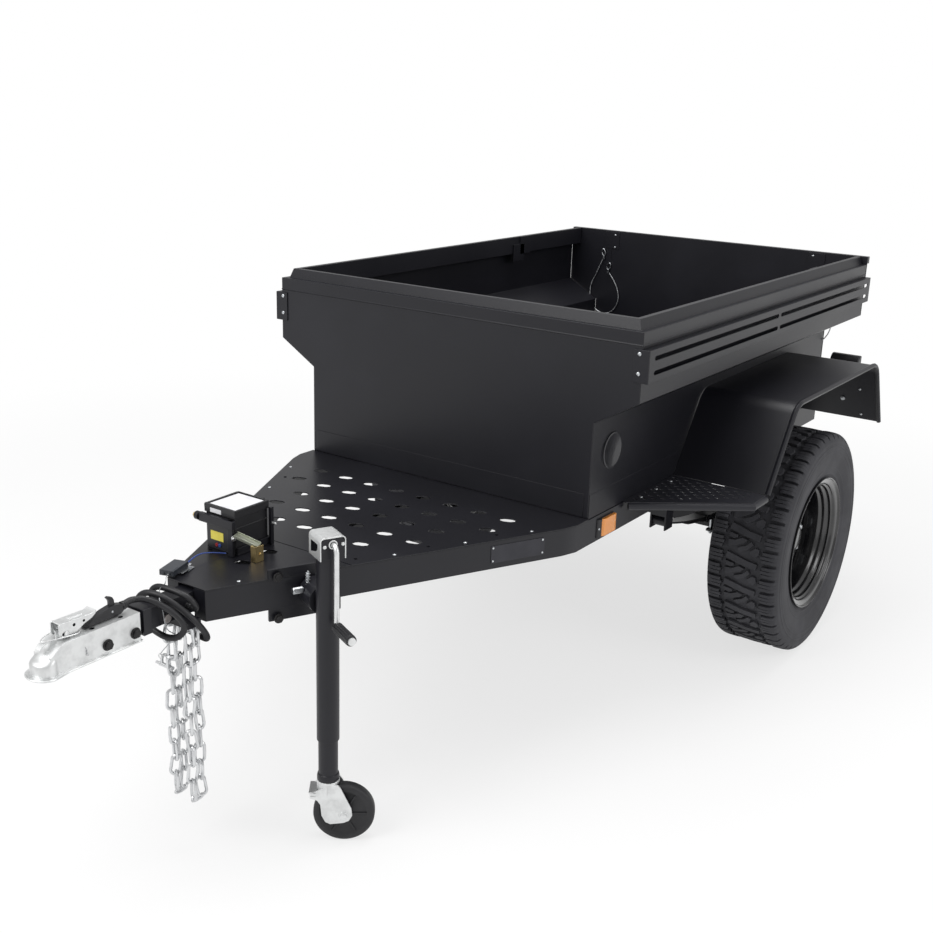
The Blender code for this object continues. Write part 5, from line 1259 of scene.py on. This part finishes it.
flare = Shape()
flare.lathe([(0.1662, 0.0236), (0.1662, 0.0262), (0.17, 0.0276), (0.176, 0.0276), (0.182, 0.0262),
             (0.184, 0.024)], jack_centre, up, 40)
flare.finish("leg_flare", body="jack_leg")
heading = math.radians(37)
ahead = np.array((math.cos(heading), math.sin(heading), 0.0))
aside = np.array((-math.sin(heading), math.cos(heading), 0.0))
fork = Shape()
fork.lathe([(0.157, 0.0), (0.157, 0.027), (0.158, 0.028), (0.165, 0.028), (0.1657, 0.0272), (0.1657, 0.0)],
           jack_centre, up, 40)
turn = np.linspace(np.pi * 0.5, np.pi * 1.5, 25)
wall = []
for radius, z in ((0.028, 0.16), (0.028, 0.13), (0.0252, 0.13), (0.0252, 0.16)):
    wall.append(jack_centre + radius * (np.cos(turn)[:, None] * ahead + np.sin(turn)[:, None] * aside)
                + up * z)
fork.grid(np.array(wall), closed_rows=True)
for end in (0, -1):
    fork.add(np.array([row[end] for row in wall]), [[0, 1, 2, 3]])
cheek = np.array([(-0.044, 0.138), (-0.03, 0.142), (0.0, 0.16), (0.026, 0.16), (0.033, 0.15),
                  (0.058, 0.096), (0.06, 0.076), (0.052, 0.062), (0.039, 0.056), (0.006, 0.052),
                  (-0.006, 0.058), (-0.015, 0.076), (-0.018, 0.106), (-0.026, 0.118), (-0.044, 0.124)])
for low, high in ((0.022, 0.0262), (-0.0262, -0.022)):
    fork.slab(cheek, low, high, jack_centre, ahead, up)
for z, reach in ((0.137, 0.046), (0.128, 0.042)):
    fork.slab(rect(-reach, -0.0262, -0.028, 0.0262), z, z + 0.0035, jack_centre, ahead, aside)
hub = jack_centre + ahead * 0.039 + up * 0.076
fork.rod(-0.033, 0.03, 0.007, hub, aside, 16)
for sign in (-1, 1):
    add_bolt(fork, hub + aside * sign * 0.0262, aside * sign, 0.0105)
fork.finish("caster_forks", bright, "zinc", ("caster_fork",), 0.0007, body="caster_fork")
caster_rubber = grained("caster_rubber", (0.014, 0.014, 0.015), (0.03, 0.03, 0.033), 30.0, 700.0,
                        (0.16, 0.42), (0.0002, 0.6), Specular_IOR_Level=0.35)
roller = Shape()
half = 0.017
tread = [(-half, 0.0076), (-half, 0.018), (-half + 0.004, 0.02), (-half + 0.005, 0.054),
         (-half + 0.0012, 0.059), (-half, 0.062), (-half, 0.068), (-half + 0.002, 0.073),
         (-half + 0.006, 0.0755), (0, 0.076)]
roller.lathe(tread + [(-a, b) for a, b in tread[::-1][1:]] + [tread[0]], hub, aside, 72)
for sign in (-1, 1):
    for spoke in range(6):
        turn = spoke * math.pi / 3
        reach = ahead * math.cos(turn) + up * math.sin(turn)
        cross = -ahead * math.sin(turn) + up * math.cos(turn)
        roller.slab([(0.017, -0.0022), (0.056, -0.0016), (0.056, 0.0016), (0.017, 0.0022)], 0.011, 0.015,
                    hub, reach, cross * sign)
roller.finish("caster_roller", caster_rubber, "rubber", ("caster_wheel",), angle=math.radians(40),
              body="caster_wheel")

# The battery: a black moulded case with a raised rim round a blank white label on its lid.  It stands in a
# low tray, held by a black bar in front with a brass bolt at its end, and a greenish plated bar runs from
# its corner towards a folded brass foot.
case_low = (-0.1355, -1.828, 0.6751)
case_high = (-0.036, -1.716, 0.765)
stand_z = 0.6703
lid_low_z, lid_high_z, rim_high_z = 0.7652, 0.7835, 0.7866
rim_width = 0.0055


def label_finish(name, colour, worn):
    """Coated paper: a faint fibre grain and slow unevenness, with no print."""
    finish = Finish(name, Specular_IOR_Level=0.4)
    finish.tones(finish.noise(35.0, 4.0, 0.6).over(0.3, 0.8), colour, worn)
    finish.set("Roughness", finish.noise(400.0) * 0.12 + 0.4)
    return finish.material


brass = zinc_plate("yellow_zinc", (0.72, 0.55, 0.26), 0.3, 0.0005)
green_zinc = zinc_plate("green_zinc", (0.42, 0.44, 0.36), 0.36, 0.0005)
case = Shape()
case.box(case_low, case_high)
x0, y0 = case_low[0] - 0.003, case_low[1] - 0.003
x1, y1 = case_high[0] + 0.003, case_high[1] + 0.003
case.box((x0, y0, lid_low_z), (x1, y1, lid_high_z))
for low, high in (((x0, y0), (x1, y0 + rim_width)), ((x0, y1 - rim_width), (x1, y1)),
                  ((x0, y0 + rim_width), (x0 + rim_width, y1 - rim_width)),
                  ((x1 - rim_width, y0 + rim_width), (x1, y1 - rim_width))):
    case.box((*low, lid_high_z), (*high, rim_high_z))
case.box((case_low[0] - 0.0012, case_low[1] - 0.0012, 0.738),
         (case_high[0] + 0.0012, case_high[1] + 0.0012, 0.7402))
case.finish("battery_case", plastic, "black_plastic", ("battery_box",), 0.0014, 3)
lid_label = Shape()
lid_label.slab(rect(x0 + 0.0075, y0 + 0.0075, x1 - 0.0075, y1 - 0.0075), 0.7836, 0.7841)
lid_label.box((x0 + 0.021, y0 - 0.0006, 0.768), (x0 + 0.059, y0 - 0.0001, 0.779))
lid_label.finish("battery_label", label_finish("white_label", (0.78, 0.78, 0.8), (0.66, 0.66, 0.69)),
                 "black_plastic")
front_label = Shape()
front_label.box((-0.121, case_low[1] - 0.0007, 0.6955), (-0.077, case_low[1] - 0.0001, 0.7185))
front_label.finish("battery_front_label",
                   label_finish("yellow_label", (0.78, 0.68, 0.1), (0.7, 0.58, 0.07)), "black_plastic")
for name, x, colour in (("red", -0.1, (0.4, 0.015, 0.02)), ("blue", -0.09, (0.03, 0.08, 0.34))):
    grommet = Shape()
    grommet.lathe([(-0.001, 0.0048), (0.002, 0.0048), (0.003, 0.004), (0.003, 0.0018), (0.001, 0.0015),
                   (0.001, 0)], (x, case_low[1], 0.684), (0, -1, 0), 20)
    grommet_finish = Finish(f"{name}_rubber", Roughness=0.5)
    grommet_finish.tones(grommet_finish.noise(60.0), colour, tuple(0.6 * part for part in colour))
    grommet.finish(f"{name}_grommet", grommet_finish.material, "rubber")

cradle = Shape()
cradle.box((x0 + 0.003, y0 + 0.003, stand_z), (x1 + 0.0035, y1 + 0.004, 0.6748))
cradle.box((x1 + 0.0006, y0 + 0.003, stand_z), (x1 + 0.0035, y1 + 0.004, 0.69))
cradle.box((x0 + 0.003, y1 + 0.0006, stand_z), (x1 + 0.0035, y1 + 0.004, 0.69))
cradle.finish("battery_tray", nodes=("battery_cradle",), width=0.0008)
holder = Shape()
holder.box((x0 - 0.006, y0 - 0.015, 0.742), (x1 + 0.006, y0 - 0.003, 0.764))
holder.box((x1 - 0.016, y0 - 0.011, stand_z), (x1 + 0.002, y0 - 0.003, 0.764))
holder.box((x1 + 0.004, y1 - 0.006, stand_z), (x1 + 0.0125, y1 + 0.0045, 0.77))
holder.rod(-0.012, 0.0, 0.011, (x0 - 0.007, y0 - 0.009, 0.753), (1, 0, 0), 20)
holder.finish("battery_holder", width=0.0012)
knob = Shape()
add_bolt(knob, (x0 - 0.0192, y0 - 0.009, 0.753), (-1, 0, 0), 0.0085)
foot_low, foot_high = (0.0185, -1.831), (0.036, -1.804)
knob.box((*foot_low, stand_z), (foot_high[0], foot_low[1] + 0.002, 0.7105))
knob.box((foot_high[0] - 0.002, foot_low[1], stand_z), (*foot_high, 0.7105))
knob.box((*foot_low, stand_z), (*foot_high, 0.6722))
knob.lathe([(0, 0), (0, 0.0045), (0.002, 0.0045), (0.0024, 0)], (foot_high[0], -1.815, 0.688), (1, 0, 0),
           16)
knob.finish("brass_foot", brass, "zinc", width=0.0006)
side_bar = Shape()
bar_start = (-0.027, -1.837, 0.73)
bar_ahead, bar_across = (0.894, 0.317, -0.317), (-0.3342, 0.9425, 0.0)
for near, far, low, high in ((-0.008, 0.012, 0.0, 0.0022), (-0.008, -0.006, -0.005, 0.0),
                             (0.01, 0.012, 0.0, 0.006)):
    side_bar.slab(rect(0, near, 0.066, far), low, high, bar_start, bar_ahead, bar_across)
side_bar.finish("hold_down_bar", green_zinc, "zinc", width=0.0005)
side_pins = Shape()
side_pins.lathe([(0, 0), (0, 0.0035), (0.012, 0.0035), (0.013, 0.0025), (0.013, 0)],
                (x1 + 0.0125, y1 - 0.001, 0.728), (1, 0, 0), 14)
add_bolt(side_pins, (x1 + 0.002, y0 - 0.007, 0.72), (1, 0, 0), 0.0065)
side_pins.finish("holder_pins", bright, "zinc")

# The breakaway switch: a flat grey-black box on a bent plated foot, with a steel cable to the shackle and a
# blue wire from its ring to the battery.
switch_turn = math.radians(18)
switch_ahead = np.array((-math.sin(switch_turn), math.cos(switch_turn), 0.0))
switch_side = np.array((-math.cos(switch_turn), -math.sin(switch_turn), 0.0))
switch_corner = np.array((-0.0385, -2.025, 0.0))
slate = powder_coat("slate_plastic", (0.03, 0.034, 0.042), (0.06, 0.068, 0.08), 0.3)
switch = Shape()
switch.slab(rect(0, 0, 0.038, 0.07), -0.6905, -0.6762, switch_corner, switch_side, switch_ahead)
switch.slab(rect(0.003, -0.0008, 0.035, 0.03), -0.6915, -0.684, switch_corner, switch_side, switch_ahead)
for place in (0.011, 0.027):
    switch.rod(-0.002, 0.003, 0.0042, switch_corner + switch_side * place + (0, 0, 0.6835), -switch_ahead,
               14)
switch.finish("switch_box", slate, "black_plastic", ("breakaway_switch",), 0.0014)
switch_foot = Shape()
for outline, low, high in ((rect(-0.007, 0.03, 0.038, 0.074), 0.6742, 0.6758),
                           (rect(-0.007, 0.056, 0.008, 0.086), 0.6698, 0.6714),
                           (rect(0.005, 0.034, 0.033, 0.066), 0.6698, 0.6742)):
    switch_foot.slab(outline, -high, -low, switch_corner, switch_side, switch_ahead)
switch_foot.finish("switch_foot", zinc, "zinc", width=0.0005)
ring = Shape()
turn = whole_turn(24)
ring_place = switch_corner + switch_side * 0.006 + switch_ahead * 0.076 + (0, 0, 0.679)
ring.tube(ring_place + 0.006 * (np.cos(turn)[:, None] * switch_ahead + np.sin(turn)[:, None] * up), 0.001,
          6, closed=True)
ring.finish("switch_ring", bright, "zinc")


def add_cord(name, points, radius, look, slot):
    """A round cord along a smooth path."""
    route = smooth_path(points, 0.006)
    made = Shape().tube(route, radius, 8).finish(name, look, slot)


wire_start = switch_corner + switch_side * 0.006 + switch_ahead * 0.07 + (0, 0, 0.683)
blue_points = [wire_start, wire_start + switch_ahead * 0.014 + (0, 0, 0.001), (-0.08, -1.92, 0.685),
               (-0.082, -1.895, 0.685), (-0.076, -1.87, 0.681), (-0.064, -1.848, 0.6765),
               (-0.055, -1.842, 0.676)]
wire_blue = (0.045, 0.1, 0.42)
vinyl = speckled("blue_vinyl", wire_blue, tuple(0.55 * part for part in wire_blue), (40.0, 3.0), 300.0,
                 (0.1, 0.3), Specular_IOR_Level=0.5)
add_cord("blue_wire", blue_points, 0.0016, vinyl, "rubber")

# The loom: a split corrugated tube wound round the tongue, from a hole in its rear end to the plug that is
# stowed on top of the coupler, with a hooked tab standing up from it.
loom_r = 0.007
loom_look = grained("corrugated_loom", (0.01, 0.01, 0.012), (0.022, 0.022, 0.025), 24.0, 500.0,
                    (0.12, 0.38), (0.0002, 0.4), Specular_IOR_Level=0.45)
coil_points = [(0.0262, -2.045, 0.63), (0.042, -2.045, 0.629), (0.06, -2.05, 0.633),
               (0.066, -2.058, 0.648), (0.056, -2.066, 0.664), (0.03, -2.074, 0.673), (0.0, -2.079, 0.676),
               (-0.032, -2.08, 0.672), (-0.056, -2.076, 0.654), (-0.064, -2.068, 0.626),
               (-0.058, -2.054, 0.595), (-0.035, -2.032, 0.564), (0.0, -2.022, 0.552),
               (0.042, -2.022, 0.548), (0.074, -2.032, 0.556), (0.086, -2.048, 0.58),
               (0.08, -2.068, 0.612), (0.06, -2.088, 0.642), (0.032, -2.103, 0.664),
               (0.002, -2.113, 0.674), (-0.03, -2.118, 0.67), (-0.054, -2.118, 0.65),
               (-0.063, -2.113, 0.62), (-0.054, -2.106, 0.588), (-0.028, -2.1, 0.572),
               (0.008, -2.0975, 0.565), (0.044, -2.0965, 0.573), (0.07, -2.097, 0.596),
               (0.075, -2.102, 0.62), (0.061, -2.114, 0.643), (0.04, -2.13, 0.662), (0.023, -2.145, 0.674)]
run_points = [(0.01, -2.158, 0.68), (0.003, -2.17, 0.6815), (0.0, -2.182, 0.6825), (0, -2.192, 0.6818),
              (0, -2.201, 0.68), (0, -2.209, 0.678)]
loom_points = coil_points + run_points
plug = Shape()
body = [(-2.312, 0.6626), (-2.313, 0.666), (-2.29, 0.677), (-2.26, 0.686), (-2.24, 0.6895),
        (-2.226, 0.689), (-2.211, 0.685), (-2.2075, 0.679), (-2.209, 0.67), (-2.218, 0.664),
        (-2.24, 0.6626)]
plug.side_view(body, -0.0085, 0.0085)
hook = [(-2.23, 0.687), (-2.231, 0.701), (-2.235, 0.7085), (-2.245, 0.7125), (-2.25, 0.7105),
        (-2.2455, 0.705), (-2.243, 0.7), (-2.243, 0.687)]
plug.side_view(hook, -0.0042, 0.0042)
plug.lathe([(0, 0), (0, 0.0105), (0.004, 0.0105), (0.0048, 0.0092), (0.006, 0.0092), (0.0068, 0.0102),
            (0.009, 0.01), (0.0098, 0.0086), (0.011, 0.0086), (0.0118, 0.0094), (0.014, 0.009),
            (0.015, 0.0076)], (0, -2.2105, 0.6775), (0, 1, 0.06), 24)
plug_piece = plug.finish("loom_plug_body", plastic, "black_plastic", ("loom_plug",), 0.002, 3)
plug_screw = Shape()
for sign in (-1, 1):
    add_rivet(plug_screw, (sign * 0.0085, -2.24, 0.677), (sign, 0, 0), 0.003, 0.0014)
plug_screw.finish("plug_screws", zinc, "zinc")

route = smooth_path(loom_points, 0.0016)
ridge = loom_r + 0.0006 * np.cos(np.arange(len(route)) * np.pi)
loom = Shape().tube(route, ridge, 14).finish("loom_tube", loom_look, "black_plastic",
                                             ("loom_coil", "wiring_loom"), angle=math.radians(80))

# The breakaway cable: thin steel rope that hangs from the switch in a loop and ends in the shackle's ring.
cable_start = switch_corner + switch_side * 0.011 + (0, 0, 0.6835) - switch_ahead * 0.002
cable_points = [cable_start, cable_start - switch_ahead * 0.012 + (0, 0, -0.002), (-0.033, -2.056, 0.672),
                (-0.01, -2.09, 0.678), (0.016, -2.116, 0.67), (0.036, -2.125, 0.645), (0.04, -2.124, 0.62),
                (0.04, -2.117, 0.599), (0.039, -2.106, 0.588), (0.04, -2.096, 0.58), (0.03, -2.09, 0.565),
                (0.005, -2.088, 0.54), (-0.018, -2.086, 0.516), (-0.033, -2.08, 0.501)]
cable_ring = Shape()
turn = whole_turn(24)
cable_ring.tube(np.stack([-0.033 + 0.006 * np.cos(turn), np.full(24, -2.08), 0.496 + 0.006 * np.sin(turn)],
                         1), 0.0011, 6, closed=True)
cable_ring = cable_ring.finish("cable_ring", bright, "zinc")
add_cord("breakaway_cable", cable_points, 0.0011, steel_rope.material, "zinc")
